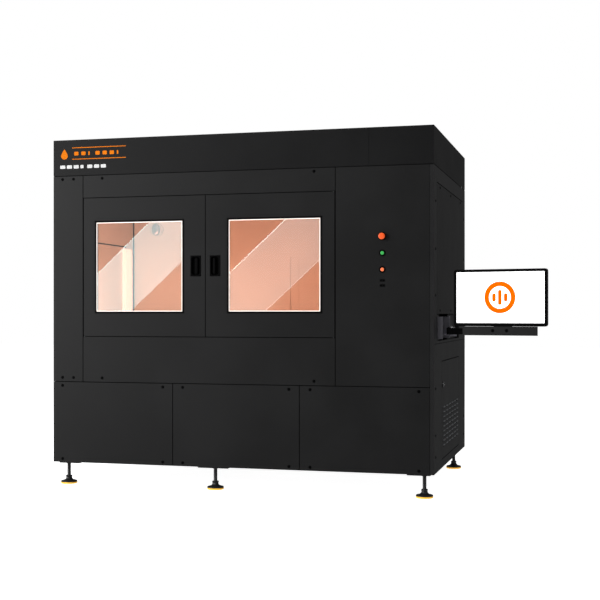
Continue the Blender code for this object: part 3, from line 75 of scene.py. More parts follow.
CABINET_LOW = box("header_left")[0]
CABINET_HIGH = box("header_right")[1]
CABINET_X = (CABINET_LOW.x + CABINET_HIGH.x) / 2
LEFT, RIGHT = CABINET_LOW.x, CABINET_HIGH.x
FRONT = box("left_column_panel")[0].y
REAR = box("rear_panel")[1].y
UNDERSIDE = box("base_panel_left")[0].z
TOP_OF_SIDES = box("side_surround_right")[1].z
CONTROLS_X = middle("start_button").x

# ---------------------------------------------------------------- sizes of the fittings (metres)
EDGE_SOFTNESS = 0.0008
SCREW_HEAD = 0.0062
# Radius of the black disc under each screw head, painted shade of its recess.
SCREW_RECESS_SHADE = 0.0100
SOLE_HEIGHT = 0.011
NUT_RADIUS = 0.021
THREAD_PITCH = 0.0036
STUD_RADIUS = 0.012
GASKET = 0.009
TRIM = 0.0018
TRIM_DEPTHS = (0.0007, 0.0130)
HALF_SEAM = 0.0025
STRIP_DEPTHS = (0.0204, 0.0224)
STRIP_HALF_WIDTH = 0.010
SEAL_DEPTHS = (0.0025, 0.0055)
SEAL_HALF_WIDTH = 0.007
REVEAL_INSET = 0.002
REVEAL_BAND = 0.012
RUBBER_SOFTNESS = 0.0003
PANE_OVERLAP = 0.014
PANE_BORDER = 0.0045
BEZEL_RADIUS = 0.0200
BEZEL_OPENING = 0.0116
COLLAR_RADIUS = 0.0245
COLLAR_OPENING = 0.0092
USB_BELOW_PAUSE = (0.0665, 0.0975)
ACCENT_HEIGHT = 0.0006
LOUVRE_COLUMNS, LOUVRE_ROWS = 6, 9
LOUVRE_PITCH_ACROSS, LOUVRE_PITCH_UP = 0.130, 0.030
SLOT_SHIFT = 0.35
SLOT_TRIM = (0.074, 0.574)
SLOT_LEVEL = 1.247
SLOT_COVER_HALF_WIDTH = 0.036
SLOT_COVER_DEPTHS = (0.002, 0.0035)
SLOT_COVER_LEVELS = (0.44, 1.56)

# levels above the underside of the cabinet
SIDE_SCREW_LEVELS = (1.65, 1.36, 1.079, 0.514, 0.230, 0.099)
MARKING_LEVEL = 2.010
DASHES_LEVEL = 1.924

# levels above the floor
FAN_LEVEL = 1.72
REAR_LOUVRE_LEVEL = 0.36
INLET_LEVEL = 0.42


# ---------------------------------------------------------------- shader arithmetic
class Value:
    """A shader socket that can be reckoned with: each operation adds a Math node."""

    def __init__(self, finish, socket):
        self.finish, self.socket = finish, socket

    def maths(self, operation, *values):
        return self.finish.node("ShaderNodeMath", {"operation": operation}, dict(enumerate(values)))

    def __add__(self, other):
        return self.maths("ADD", self, other)

    def __sub__(self, other):
        return self.maths("SUBTRACT", self, other)

    def __rsub__(self, other):
        return self.maths("SUBTRACT", other, self)

    def __mul__(self, other):
        return self.maths("MULTIPLY", self, other)

    __radd__ = __add__
    __rmul__ = __mul__

    def between(self, low, high):
        """0 below low, 1 above high and a smooth step from one to the other."""
        settings = {"interpolation_type": "SMOOTHSTEP"}
        return self.finish.node("ShaderNodeMapRange", settings, {0: self, 1: low, 2: high})


class Finish:
    """A material whose shader is fed by nodes; constants go straight on the shader's sockets."""

    def __init__(self, name, colour, roughness, metallic=0.0, **constants):
        self.material = bpy.data.materials.new(name)
        self.material.use_nodes = True
        self.tree = self.material.node_tree
        self.shader = self.tree.nodes["Principled BSDF"]
        self.colour, self.roughness = colour, roughness
        settings = {"Base Color": (*colour, 1), "Roughness": roughness, "Metallic": metallic}
        settings.update({key.replace("_", " "): value for key, value in constants.items()})
        for socket, value in settings.items():
            self.shader.inputs[socket].default_value = value
        self.place = self.node("ShaderNodeTexCoord", output="Object")

    def node(self, kind, settings=None, inputs=None, output=0):
        """Adds any node: its settings first, then the values or links of its sockets."""
        made = self.tree.nodes.new(kind)
        for key, value in (settings or {}).items():
            setattr(made, key, value)
        for socket, value in (inputs or {}).items():
            self.feed(made.inputs[socket], value)
        return Value(self, made.outputs[output])

    def feed(self, socket, value):
        if isinstance(value, Value):
            self.tree.links.new(value.socket, socket)
        else:
            socket.default_value = value

    def noise(self, scale, detail=2.0, stretch=(1, 1, 1)):
        place = self.place
        if stretch != (1, 1, 1):
            place = self.node("ShaderNodeMapping", None, {"Vector": place, "Scale": stretch})
        inputs = {"Vector": place, "Scale": scale, "Detail": detail}
        return self.node("ShaderNodeTexNoise", None, inputs)

    def shade(self, amount, darker, lighter, socket="Base Color"):
        """A colour that runs between two multiples of the finish's own colour."""
        ends = [(*[min(1.0, c * k) for c in self.colour], 1) for k in (darker, lighter)]
        inputs = {0: amount, 6: ends[0], 7: ends[1]}
        made = self.node("ShaderNodeMix", {"data_type": "RGBA"}, inputs, output=2)
        self.feed(self.shader.inputs[socket], made)

    def gloss(self, change):
        self.feed(self.shader.inputs["Roughness"], change + self.roughness)

    def relief(self, height, distance, strength=1.0):
        inputs = {"Height": height, "Distance": distance, "Strength": strength}
        self.feed(self.shader.inputs["Normal"], self.node("ShaderNodeBump", None, inputs))


def powder_coat(name, colour, roughness, specular=0.3, cloudiness=0.12):
    """Baked paint: fine orange peel, with faint clouds of dust and handling."""
    coat = Finish(name, colour, roughness, Specular_IOR_Level=specular)
    peel, grain, clouds = coat.noise(420, 3), coat.noise(1500, 1), coat.noise(2.6, 5)
    coat.shade(clouds.between(0.35, 0.7), 1 - cloudiness, 1 + cloudiness)
    coat.gloss((clouds - 0.5) * 0.16 + (grain - 0.5) * 0.06)
    coat.relief(peel * 0.7 + grain * 0.3, 0.0003, 0.35)
    return coat


def moulded(name, colour, roughness, texture=900, depth=0.0002, **constants):
    """Moulded plastic, rubber or a printed coat, with a fine spark-eroded texture."""
    plastic = Finish(name, colour, roughness, **constants)
    grain, patches = plastic.noise(texture, 2), plastic.noise(14, 3)
    plastic.shade(patches.between(0.3, 0.7), 0.92, 1.06)
    plastic.gloss((patches - 0.5) * 0.12)
    plastic.relief(grain, depth, 0.3)
    return plastic


def brushed(name, colour, roughness, stretch, scratches=0.25):
    """Metal with grinding marks along one axis, and a few cloudy patches."""
    metal = Finish(name, colour, roughness, 1.0)
    marks, patches = metal.noise(240, 4, stretch), metal.noise(5, 3)
    metal.shade(marks * 0.6 + patches * 0.4, 0.86, 1.08)
    metal.gloss((marks - 0.5) * scratches + (patches - 0.5) * 0.12)
    metal.relief(marks, 0.0002, 0.12)
    return metal


def acrylic():
    """Amber sheet that holds back blue light, with faint wiping marks."""
    pane = Finish("amber_sheet", (0.98, 0.465, 0.30), 0.012, Transmission_Weight=1.0, IOR=1.49)
    smears = pane.noise(7, 4, (1, 1, 3))
    pane.shade(smears, 0.97, 1.0)
    pane.gloss(smears.between(0.55, 0.9) * 0.02)
    return pane


def lit(name, colour, strength, roughness=0.25, mottle=60):
    """A lens, diffuser or polished edge that light comes out of; the panes' polished edge is no lamp, so
    its glow is a painted highlight.
    """
    lens = Finish(name, colour, roughness, Emission_Strength=strength)
    ripple = lens.noise(mottle, 2)
    lens.shade(ripple, 0.9, 1.0, "Emission Color")
    lens.shade(ripple, 0.94, 1.0)
    return lens


FINISHES = {
    finish.material.name: (finish.material, slot)
    for finish, slot in (
        (powder_coat("cabinet_black", (0.0068, 0.0068, 0.0070), 0.5, 0.115), "body_paint"),
        (powder_coat("header_black", (0.0052, 0.0052, 0.0054), 0.52, 0.085), "header_paint"),
        (powder_coat("frame_black", (0.010, 0.010, 0.010), 0.6, 0.25), "frame_paint"),
        # The right side and its access door: a lighter copy of the cabinet's black paint, painted
        # highlight on that side and its front corner.
        (powder_coat("side_black_painted_highlight", (0.0095, 0.0095, 0.0098), 0.5, 0.14), "body_paint"),
        # Louvre hoods: the door's black paint made several times lighter, a painted highlight on each
        # pressed hood.
        (powder_coat("louvre_paint_painted_highlight", (0.050, 0.051, 0.055), 0.4, 0.5), "body_paint"),
        (powder_coat("chamber_enamel", (0.80, 0.78, 0.75), 0.4, 0.5, 0.02), "chamber_white"),
        (moulded("moulded_black", (0.0032, 0.0032, 0.0034), 0.45, Specular_IOR_Level=0.2),
         "black_plastic"),
        (moulded("pull_black", (0.0008, 0.0008, 0.0009), 0.55, Specular_IOR_Level=0.03),
         "black_plastic"),
        # Near-black rubber for gaskets, seals and strips; on the trims in the front seams its black is
        # painted seam shade.
        (moulded("black_rubber_and_seam_shade", (0.0010, 0.0010, 0.0010), 0.7, Specular_IOR_Level=0.05),
         "black_plastic"),
        (moulded("sole_rubber", (0.93, 0.50, 0.045), 0.6), "orange_lens"),
        (moulded("foot_coating", (0.012, 0.012, 0.013), 0.38), "foot_black"),
        (moulded("accent_orange", (0.50, 0.125, 0.003), 0.6, Specular_IOR_Level=0.03), "orange_lens"),
        (moulded("accent_white", (0.42, 0.42, 0.42), 0.5), "chamber_white"),
        (moulded("stop_red", (0.66, 0.078, 0.012), 0.34, Specular_IOR_Level=0.3), "red_plastic"),
        # The panes' bevelled border glows: a painted highlight along the window edge.
        (lit("pane_edge_painted_highlight", (0.95, 0.86, 0.80), 0.55, 0.2), "amber_acrylic"),
        (brushed("ground_stainless", (0.56, 0.56, 0.57), 0.3, (1, 12, 12)), "stainless"),
        (brushed("anodised_aluminium", (0.50, 0.49, 0.55), 0.38, (12, 1, 12)), "aluminium"),
        (brushed("bright_steel", (0.50, 0.50, 0.51), 0.24, (12, 12, 1)), "steel"),
        # Near-black screw heads; the wide black disc under each head is painted shade of the recess that
        # the screw sits in.
        (moulded("screw_black_and_recess_shade", (0.0006, 0.0006, 0.0007), 0.6, Specular_IOR_Level=0.03), "steel"),
        (brushed("black_screw", (0.016, 0.016, 0.017), 0.45, (3, 3, 3)), "steel"),
        (acrylic(), "amber_acrylic"),
        (lit("green_lamp", (0.030, 0.30, 0.060), 0.20), "green_lens"),
        (lit("orange_lamp", (0.70, 0.145, 0.050), 0.20), "orange_lens"),
        (moulded("symbol_orange", (0.90, 0.115, 0.0), 0.7, Specular_IOR_Level=0.0), "orange_lens"),
        (lit("screen_white", (0.96, 0.96, 0.96), 0.93, 0.3), "screen_glass"),
        (lit("lamp_diffuser", (1.0, 0.97, 0.95), 0.6, 0.5), "chamber_white"),
    )
}

CAD_FINISHES = {
    "body_paint": "cabinet_black", "header_paint": "header_black", "frame_paint": "frame_black",
    "black_plastic": "moulded_black", "amber_acrylic": "amber_sheet", "chamber_white": "chamber_enamel",
    "stainless": "ground_stainless", "aluminium": "anodised_aluminium", "steel": "bright_steel",
    "foot_black": "foot_coating", "red_plastic": "stop_red", "green_lens": "green_lamp",
    "orange_lens": "orange_lamp", "screen_glass": "screen_white",
}
NODE_FINISHES = {
    name: CAD_FINISHES[node.material_slots[0].material.name] for name, node in NODES.items()
}
# The right side and its access door take the lighter copy of the black paint: painted highlight.
NODE_FINISHES["side_surround_right"] = NODE_FINISHES["access_door"] = "side_black_painted_highlight"
for name, node in NODES.items():
    node.material_slots[0].material = FINISHES[NODE_FINISHES[name]][0]


# ---------------------------------------------------------------- modelling helpers
# A fitting is modelled lying on its back at the origin, +Z away from the surface that it goes on
# and +Y up that surface, and is then stood in its place.
FACINGS = {"front": 0, "right": 90, "rear": 180, "left": -90}
MONITOR_TURN = -12


def deselect():
    bpy.ops.object.select_all(action="DESELECT")


def only(piece):
    deselect()
    piece.select_set(True)
    bpy.context.view_layer.objects.active = piece


def apply_place():
    bpy.ops.object.transform_apply(location=True, rotation=True, scale=True)


def plate(width, height, corner=0.0, segments=4):
    """A flat rounded outline, left in edit mode."""
    deselect()
    bpy.ops.mesh.primitive_plane_add(size=1)
    piece = bpy.context.object
    piece.scale = (width, height, 1)
    apply_place()
    bpy.ops.object.mode_set(mode="EDIT")
    bpy.ops.mesh.select_all(action="SELECT")
    if corner:
        bpy.ops.mesh.bevel(offset=corner, segments=segments, affect="VERTICES")
    return piece


def disc(radius, sides=32):
    """A flat round outline, left in edit mode."""
    deselect()
    bpy.ops.mesh.primitive_circle_add(vertices=sides, radius=radius, fill_type="NGON")
    bpy.ops.object.mode_set(mode="EDIT")
    return bpy.context.object


def raise_outline(piece, steps):
    """Extrudes the outline through steps of (growth on every side, rise) and leaves edit mode."""
    width, height = piece.dimensions.x, piece.dimensions.y
    bpy.ops.mesh.select_all(action="SELECT")
    level = 0.0
    for growth, rise in steps:
        bpy.ops.mesh.extrude_region_move(TRANSFORM_OT_translate={"value": (0, 0, rise)})
        level += rise
        if growth:
            scale = ((width + 2 * growth) / width, (height + 2 * growth) / height, 1)
            bpy.ops.transform.resize(value=scale, center_override=(0, 0, level))
            width, height = width + 2 * growth, height + 2 * growth
    close_shape()
    return piece


def close_shape():
    """Turns every face outwards and leaves edit mode."""
    bpy.ops.mesh.select_all(action="SELECT")
    bpy.ops.mesh.normals_make_consistent(inside=False)
    bpy.ops.object.mode_set(mode="OBJECT")


def turned(profile, sides=32):
    """A round piece from (radius, height) points, starting at height 0."""
    radius, height = profile[0]
    steps = []
    for next_radius, next_height in profile[1:]:
        steps.append((next_radius - radius, next_height - height))
        radius, height = next_radius, next_height
    return raise_outline(disc(profile[0][0], sides), steps)


def hollow(piece, border, thickness):
    """Cuts the middle out of an outline and raises what is left as a flat ring."""
    bpy.ops.mesh.select_all(action="SELECT")
    bpy.ops.mesh.inset(thickness=border)
    bpy.ops.mesh.delete(type="FACE")
    return raise_outline(piece, [(0, thickness)])


def soften(piece, width=EDGE_SOFTNESS, segments=2, angle=35):
    """Rounds the sharp edges and smooths the rest."""
    only(piece)
    rounding = piece.modifiers.new("rounding", "BEVEL")
    rounding.width, rounding.segments = width, segments
    rounding.limit_method, rounding.angle_limit = "ANGLE", math.radians(angle)
    rounding.use_clamp_overlap = True
    bpy.ops.object.modifier_apply(modifier=rounding.name)
    bpy.ops.object.shade_smooth_by_angle(angle=math.radians(angle))
    flats = piece.modifiers.new("flats", "WEIGHTED_NORMAL")
    flats.weight, flats.keep_sharp = 100, True
    bpy.ops.object.modifier_apply(modifier=flats.name)
    return piece


def stand(piece, point, facing="front", roll=0.0):
    """Stands a fitting on the surface that faces that way, or lays it on top; applies its place."""
    only(piece)
    if roll:
        piece.rotation_euler.z = math.radians(roll)
        apply_place()
    if facing != "top":
        heading = FACINGS.get(facing, facing)
        piece.rotation_euler = (math.pi / 2, 0, math.radians(heading))
    piece.location = point
    apply_place()
    return piece


def repeat(piece, places):
    """One object from copies of a fitting at (point, facing) places; the pattern is used up."""
    copies = []
    for point, facing in places:
        only(piece)
        bpy.ops.object.duplicate(linked=False)
        copies.append(stand(bpy.context.object, point, facing))
    deselect()
    for copy in copies:
        copy.select_set(True)
    bpy.context.view_layer.objects.active = copies[0]
    if len(copies) > 1:
        bpy.ops.object.join()
    bpy.data.objects.remove(piece)
    return copies[0]


def join(*pieces):
    deselect()
    for piece in pieces:
        piece.select_set(True)
    bpy.context.view_layer.objects.active = pieces[0]
    bpy.ops.object.join()
    return pieces[0]


def keep(piece, name, finish, body="root", replaces=()):
    """Names a finished piece, gives it its finish and hangs it on its body."""
    material, slot = FINISHES[finish]
    piece.name = piece.data.name = name
    piece.data.materials.clear()
    piece.data.materials.append(material)
    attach(piece, body)
    if replaces:
        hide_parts(*replaces)
    return piece


def bar(low, high, softness=0.001):
    """A soft-edged bar between two corners of a box."""
    size = high - low
    piece = raise_outline(plate(size.x, size.y), [(0, size.z)])
    only(piece)
    piece.location = ((low.x + high.x) / 2, (low.y + high.y) / 2, low.z)
    apply_place()
    return soften(piece, softness)


# ---------------------------------------------------------------- panels, trims and seals
def fold_softly(node, body="root"):
    """Stands for a CAD panel with the same panel, its folds and cut edges rounded."""
    name = f"{node}_sheet"
    piece = bpy.data.objects.new(name, NODES[node].data.copy())
    bpy.context.scene.collection.objects.link(piece)
    only(piece)
    bpy.ops.object.mode_set(mode="EDIT")
    bpy.ops.mesh.select_all(action="SELECT")
    bpy.ops.mesh.remove_doubles(threshold=0.00002)
    bpy.ops.mesh.dissolve_limited(angle_limit=math.radians(0.5))
    close_shape()
    keep(soften(piece), name, NODE_FINISHES[node], body, (node,))


def make_panels():
    for node in ("base_panel_left", "base_panel_centre", "base_panel_right", "left_column_panel",
                 "lower_front_panel", "upper_front_panel", "control_panel", "header_left",
                 "header_right", "roof_panel", "side_panel_left", "side_service_panel",
                 "side_surround_right", "rear_panel", "arm_bracket"):
        fold_softly(node)
    for node, body in (("left_door", "left_door"), ("right_door", "right_door"),
                       ("access_door", "access_door"), ("keyboard_tray", "keyboard_tray_slide"),
                       ("arm_link_lower", "arm_lower"), ("arm_link_upper", "arm_upper"),
                       ("arm_head", "monitor_head")):
        fold_softly(node, body)


def make_seam_shade_trims():
    """Black rubber trims on the panels' edges at the seams of the front, set back from the face; their
    black is painted shade inside the seams.
    """
    all_round = ("left", "right", "low", "high")
    seams = {
        "left_door": all_round, "right_door": all_round, "left_column_panel": ("right", "low", "high"),
        "control_panel": all_round, "lower_front_panel": all_round, "upper_front_panel": all_round,
        "base_panel_left": ("right", "high"), "base_panel_centre": ("left", "right", "high"),
        "base_panel_right": ("left", "high"), "header_left": ("right",),
    }
    fixed = []
    for node, sides in seams.items():
        low, high = box(node)
        trims = []
        for side in sides:
            trim_low = Vector((low.x, FRONT + TRIM_DEPTHS[0], low.z))
            trim_high = Vector((high.x, FRONT + TRIM_DEPTHS[1], high.z))
            axis = 0 if side in ("left", "right") else 2
            if side in ("left", "low"):
                trim_low[axis], trim_high[axis] = low[axis] - TRIM, low[axis]
            else:
                trim_low[axis], trim_high[axis] = high[axis], high[axis] + TRIM
            trims.append(bar(trim_low, trim_high, 0.0002))
        if node.endswith("_door"):
            keep(join(*trims), f"{node}_trim", "black_rubber_and_seam_shade", node)
        else:
            fixed += trims
    keep(join(*fixed), "seam_shade_trims", "black_rubber_and_seam_shade")


def make_backing_strips():
    """Black strips between the panels and the frame, so that no seam of the front can be seen through."""
    near, far = (FRONT + depth for depth in STRIP_DEPTHS)
    base_top = box("base_panel_left")[1].z
    column_low, column_high = box("left_column_panel")
    lower, upper = box("lower_front_panel"), box("upper_front_panel")
    below, above = base_top - STRIP_HALF_WIDTH, column_low.z + STRIP_HALF_WIDTH
    play = 0.001
    strips = [bar(Vector((LEFT + 0.03, near, below)), Vector((RIGHT - 0.03, far, above)),
                  RUBBER_SOFTNESS)]

    def upright(x, low_z, high_z):
        strips.append(bar(Vector((x - STRIP_HALF_WIDTH, near, low_z)),
                          Vector((x + STRIP_HALF_WIDTH, far, high_z)), RUBBER_SOFTNESS))

    corner = box("control_panel")[1].x + HALF_SEAM
    base_seams = [box(node)[0].x - HALF_SEAM for node in ("base_panel_centre", "base_panel_right")]
    for x in (*base_seams, corner):
        upright(x, UNDERSIDE + 0.002, below - play)
    for x in (column_high.x + HALF_SEAM, lower[1].x + HALF_SEAM):
        upright(x, above + play, lower[1].z - play)
        upright(x, upper[0].z + play, upper[1].z)
    upright(corner, above + play, column_high.z)
    keep(join(*strips), "seam_backing", "black_rubber_and_seam_shade")


def make_door_seals():
    """A rubber frame behind the doors' outer edges and their meeting line."""
    low, high = box("left_door")[0], box("right_door")[1]
    near, far = (high.y + depth for depth in SEAL_DEPTHS)
    between = (box("left_door")[1].x + box("right_door")[0].x) / 2
    seal = [bar(Vector((low.x - 0.004, near, z - SEAL_HALF_WIDTH)),
                Vector((high.x + 0.004, far, z + SEAL_HALF_WIDTH)), RUBBER_SOFTNESS)
            for z in (low.z, high.z)]
    end = SEAL_HALF_WIDTH + 0.0005
    seal += [bar(Vector((x - SEAL_HALF_WIDTH, near, low.z + end)),
                 Vector((x + SEAL_HALF_WIDTH, far, high.z - end)), RUBBER_SOFTNESS)
             for x in (low.x + 0.002, between, high.x - 0.002)]
    keep(join(*seal), "door_seals", "black_rubber_and_seam_shade")


def make_header_gasket():
    """Fills the reveal under the header on three sides."""
    bottom, top = TOP_OF_SIDES + 0.0003, box("header_left")[0].z - 0.0003
    left, right, front = LEFT + REVEAL_INSET, RIGHT - REVEAL_INSET, FRONT + REVEAL_INSET
    behind = front + REVEAL_BAND
    corners = (((left, front), (right, behind)),
               ((left, behind + 0.0005), (left + REVEAL_BAND, REAR - 0.027)),
               ((right - REVEAL_BAND, behind + 0.0005), (right, REAR - REVEAL_INSET)))
    band = [bar(Vector((*low, bottom)), Vector((*high, top)), RUBBER_SOFTNESS) for low, high in corners]
    keep(join(*band), "header_gasket", "black_rubber_and_seam_shade")


# ---------------------------------------------------------------- fixing screws
def button_screw():
    """A button-head screw with a round socket, on a flat black disc that is painted shade of the screw's
    recess: a few dozen faces.
    """
    recess_shade = [(0, 0.0006), (SCREW_HEAD - SCREW_RECESS_SHADE, 0.0)]
    dome = [(0, 0.0008), (-0.0008, 0.001), (-0.0018, 0.0008)]
    head = raise_outline(disc(SCREW_RECESS_SHADE, 16), recess_shade + dome)
    only(head)
    bpy.ops.object.mode_set(mode="EDIT")
    shape = bmesh.from_edit_mesh(head.data)
    top = max(f.calc_center_median().z for f in shape.faces)
    for face in shape.faces:
        face.select_set(face.calc_center_median().z > top - 1e-6)
    bpy.ops.mesh.inset(thickness=0.0012)
    bpy.ops.mesh.extrude_region_move(TRANSFORM_OT_translate={"value": (0, 0, -0.0016)})
    bpy.ops.object.mode_set(mode="OBJECT")
    return head


def make_screws():
    places = []
    for node, inset, from_low, from_high in (
            ("left_column_panel", 0.065, 0.025, 0.019), ("upper_front_panel", 0.132, None, 0.019),
            ("lower_front_panel", 0.132, 0.025, None), ("base_panel_left", 0.065, 0.022, 0.022),
            ("base_panel_centre", 0.065, 0.022, 0.022), ("base_panel_right", 0.065, 0.022, 0.022)):
        low, high = box(node)
        for x in (low.x + inset, high.x - inset):
            if from_low:
                places.append((Vector((x, FRONT, low.z + from_low)), "front"))
            if from_high:
                places.append((Vector((x, FRONT, high.z - from_high)), "front"))
    for facing, x in (("right", RIGHT), ("left", LEFT)):
        for level in SIDE_SCREW_LEVELS:
            for y in (FRONT + 0.07, REAR - 0.07):
                places.append((Vector((x, y, UNDERSIDE + level)), facing))
    service_low, service_high = box("side_service_panel")
    for y in (service_low.y + 0.13, (service_low.y + service_high.y) / 2, service_high.y - 0.13):
        for z in (service_high.z - 0.02, service_low.z + 0.02):
            places.append((Vector((RIGHT, y, z)), "right"))
    rear_low, rear_high = box("rear_panel")
    for i in range(5):
        x = rear_low.x + 0.08 + i * (rear_high.x - rear_low.x - 0.16) / 4
        for z in (rear_low.z + 0.025, (rear_low.z + rear_high.z) / 2 - 0.04, rear_high.z - 0.025):
            places.append((Vector((x, REAR, z)), "rear"))
    for x in (LEFT + 0.10, CABINET_X, RIGHT - 0.10):
        for y in (FRONT + 0.06, REAR - 0.06):
            places.append((Vector((x, y, box("roof_panel")[1].z)), "top"))
    keep(repeat(button_screw(), places), "panel_screws", "screw_black_and_recess_shade")


# ---------------------------------------------------------------- levelling feet
def make_feet():
    for node in sorted(n for n in NODES if n.startswith("foot_")):
        low, high = box(node)
        centre = (low + high) / 2
        radius = (high.x - low.x) / 2
        floor = Vector((centre.x, centre.y, low.z))
        sole = turned([(radius - 0.004, 0), (radius, 0.003), (radius, SOLE_HEIGHT - 0.001),
                       (radius - 0.001, SOLE_HEIGHT)], 40)
        keep(stand(sole, floor, "top"), f"{node}_sole", "sole_rubber")
        root = STUD_RADIUS - 0.0012
        profile = [(radius - 0.001, 0), (radius, 0.001), (radius, 0.0055), (radius - 0.003, 0.008),
                   (0.030, 0.013), (0.021, 0.021), (0.0185, 0.030), (root, 0.031)]
        top = high.z - low.z - SOLE_HEIGHT
        height = 0.033
        while height + THREAD_PITCH < top:
            profile += [(STUD_RADIUS, height), (root, height + THREAD_PITCH / 2)]
            height += THREAD_PITCH
        profile += [(root, top)]
        foot = turned(profile, 24)
        stand(foot, floor + Vector((0, 0, SOLE_HEIGHT)), "top")
        nuts = []
        for nut_low, nut_height, size in ((SOLE_HEIGHT + 0.030, 0.013, NUT_RADIUS),
                                          (high.z - low.z - 0.0085, 0.0083, NUT_RADIUS - 0.003)):
            nut = turned([(size - 0.003, 0), (size, 0.002), (size, nut_height - 0.002),
                          (size - 0.003, nut_height)], 6)
            nuts.append(stand(nut, floor + Vector((0, 0, nut_low)), "top"))
        foot = soften(join(foot, *nuts), 0.0004, 1, 40)
        keep(foot, f"{node}_stand", "foot_coating", "root", (node,))


# ---------------------------------------------------------------- doors
def make_door_fittings(side):
    door, glass = f"{side}_door", f"{side}_door_glass"
    low, high = box(glass)
    width, height = high.x - low.x - 2 * PANE_OVERLAP, high.z - low.z - 2 * PANE_OVERLAP
    centre = Vector(((low.x + high.x) / 2, FRONT, (low.z + high.z) / 2))
    seal = hollow(plate(width + 2 * GASKET, height + 2 * GASKET, 0.006), GASKET + 0.003, 0.0022)
    stand(soften(seal, 0.0008), centre)
    keep(seal, f"{side}_window_gasket", "black_rubber_and_seam_shade", door)
    # The bevelled border round the pane glows with the pale edge finish, a painted highlight.
    border = hollow(plate(width - 0.006, height - 0.006, 0.003), PANE_BORDER, 0.0010)
    stand(soften(border, 0.0003, 1), Vector((centre.x, low.y, centre.z)))
    keep(border, f"{side}_pane_bevel_painted_highlight", "pane_edge_painted_highlight", door)
    clamp = hollow(plate(width + 0.05, height + 0.05, 0.008), 0.025, 0.004)
    stand(soften(clamp, 0.001), Vector((centre.x, box(door)[1].y, centre.z)), "rear")
    keep(clamp, f"{side}_window_clamp", "moulded_black", door)
    make_pull(side, door)


def make_pull(side, door):
    """A moulded cup pull: a rounded flange, a deep bowl and an upright grip."""
    low, high = box(f"{side}_door_handle")
    centre = (low + high) / 2
    width, height = high.x - low.x, high.z - low.z
    depth = FRONT - low.y + 0.019
    bowl = plate(width - 0.006, height - 0.006, 0.017, 5)
    raise_outline(bowl, [(0, depth - 0.0025), (0.003, 0.0), (0, 0.0015), (-0.0012, 0.001),
                         (-0.005, 0.0), (-0.0015, -0.001), (-0.0025, -0.015)])
    stand(soften(bowl, 0.0005, 1), Vector((centre.x, low.y + depth, centre.z)))
    off_centre = 0.006 if side == "left" else -0.006
    grip = plate(0.019, height - 0.026, 0.0085, 4)
    raise_outline(grip, [(0, 0.011), (-0.002, 0.0035), (-0.003, 0.001)])
    stand(soften(grip, 0.0006, 1), Vector((centre.x + off_centre, FRONT + 0.0125, centre.z)))
    keep(join(bowl, grip), f"{side}_pull", "pull_black", door, (f"{side}_door_handle",))


# ---------------------------------------------------------------- controls
def make_controls():
    bezels = []
    for node in ("start_button", "pause_button"):
        centre = middle(node)
        bezel = hollow(disc(BEZEL_RADIUS), BEZEL_RADIUS - BEZEL_OPENING, 0.0028)
        bezels.append(stand(soften(bezel, 0.0009), Vector((centre.x, FRONT, centre.z))))
        low, high = box(node)
        radius, length = (high.x - low.x) / 2, high.y - low.y
        lens = turned([(radius - 0.001, 0), (radius, 0.001), (radius, length - 0.0022),
                       (radius - 0.0012, length - 0.0008), (radius * 0.6, length - 0.0001),
                       (radius * 0.2, length)])
        stand(soften(lens, 0.0003, 1), Vector((centre.x, high.y, centre.z)))
        finish = "green_lamp" if node == "start_button" else "orange_lamp"
        keep(lens, f"{node}_lens", finish, node, (node,))
    cap_low, cap_high = box("estop_cap")
    cap_middle = middle("estop_cap")
    collar = hollow(disc(COLLAR_RADIUS, 40), COLLAR_RADIUS - COLLAR_OPENING, 0.0030)
    bezels.append(stand(soften(collar, 0.0010), Vector((cap_middle.x, FRONT, cap_middle.z))))
    keep(join(*bezels), "button_bezels", "pull_black")
    radius, height = (cap_high.x - cap_low.x) / 2, cap_high.y - cap_low.y
    cap = turned([(0.0125, 0), (radius - 0.002, 0.0015), (radius, 0.004), (radius, height * 0.62),
                  (radius - 0.0014, height * 0.83), (radius - 0.0048, height * 0.96),
                  (radius * 0.45, height)], 40)
    stand(soften(cap, 0.0005, 1), Vector((cap_middle.x, cap_high.y, cap_middle.z)))
    keep(cap, "estop_mushroom", "stop_red", "estop_head", ("estop_cap",))
    frames, shells, tongues = [], [], []
    for drop in USB_BELOW_PAUSE:
        spot = Vector((CONTROLS_X, FRONT, middle("pause_button").z - drop))
        surround = soften(hollow(plate(0.030, 0.0145, 0.003), 0.0042, 0.0018), 0.0005)
        frames.append(stand(surround, spot))
        shell = hollow(plate(0.0140, 0.0062, 0.0008), 0.0006, 0.009)
        shells.append(stand(shell, spot + Vector((0, 0.0085, 0))))
        back = raise_outline(plate(0.0225, 0.0078, 0.001), [(0, 0.001)])
        frames.append(stand(back, spot + Vector((0, 0.0095, 0))))
        tongue = raise_outline(plate(0.0112, 0.0018, 0.0002), [(0, 0.0075)])
        tongues.append(stand(tongue, spot + Vector((0, 0.0085, 0.0008))))
    keep(join(*frames), "usb_frames", "pull_black")
    keep(join(*shells), "usb_shells", "black_screw")
    keep(join(*tongues), "usb_tongues", "moulded_black")


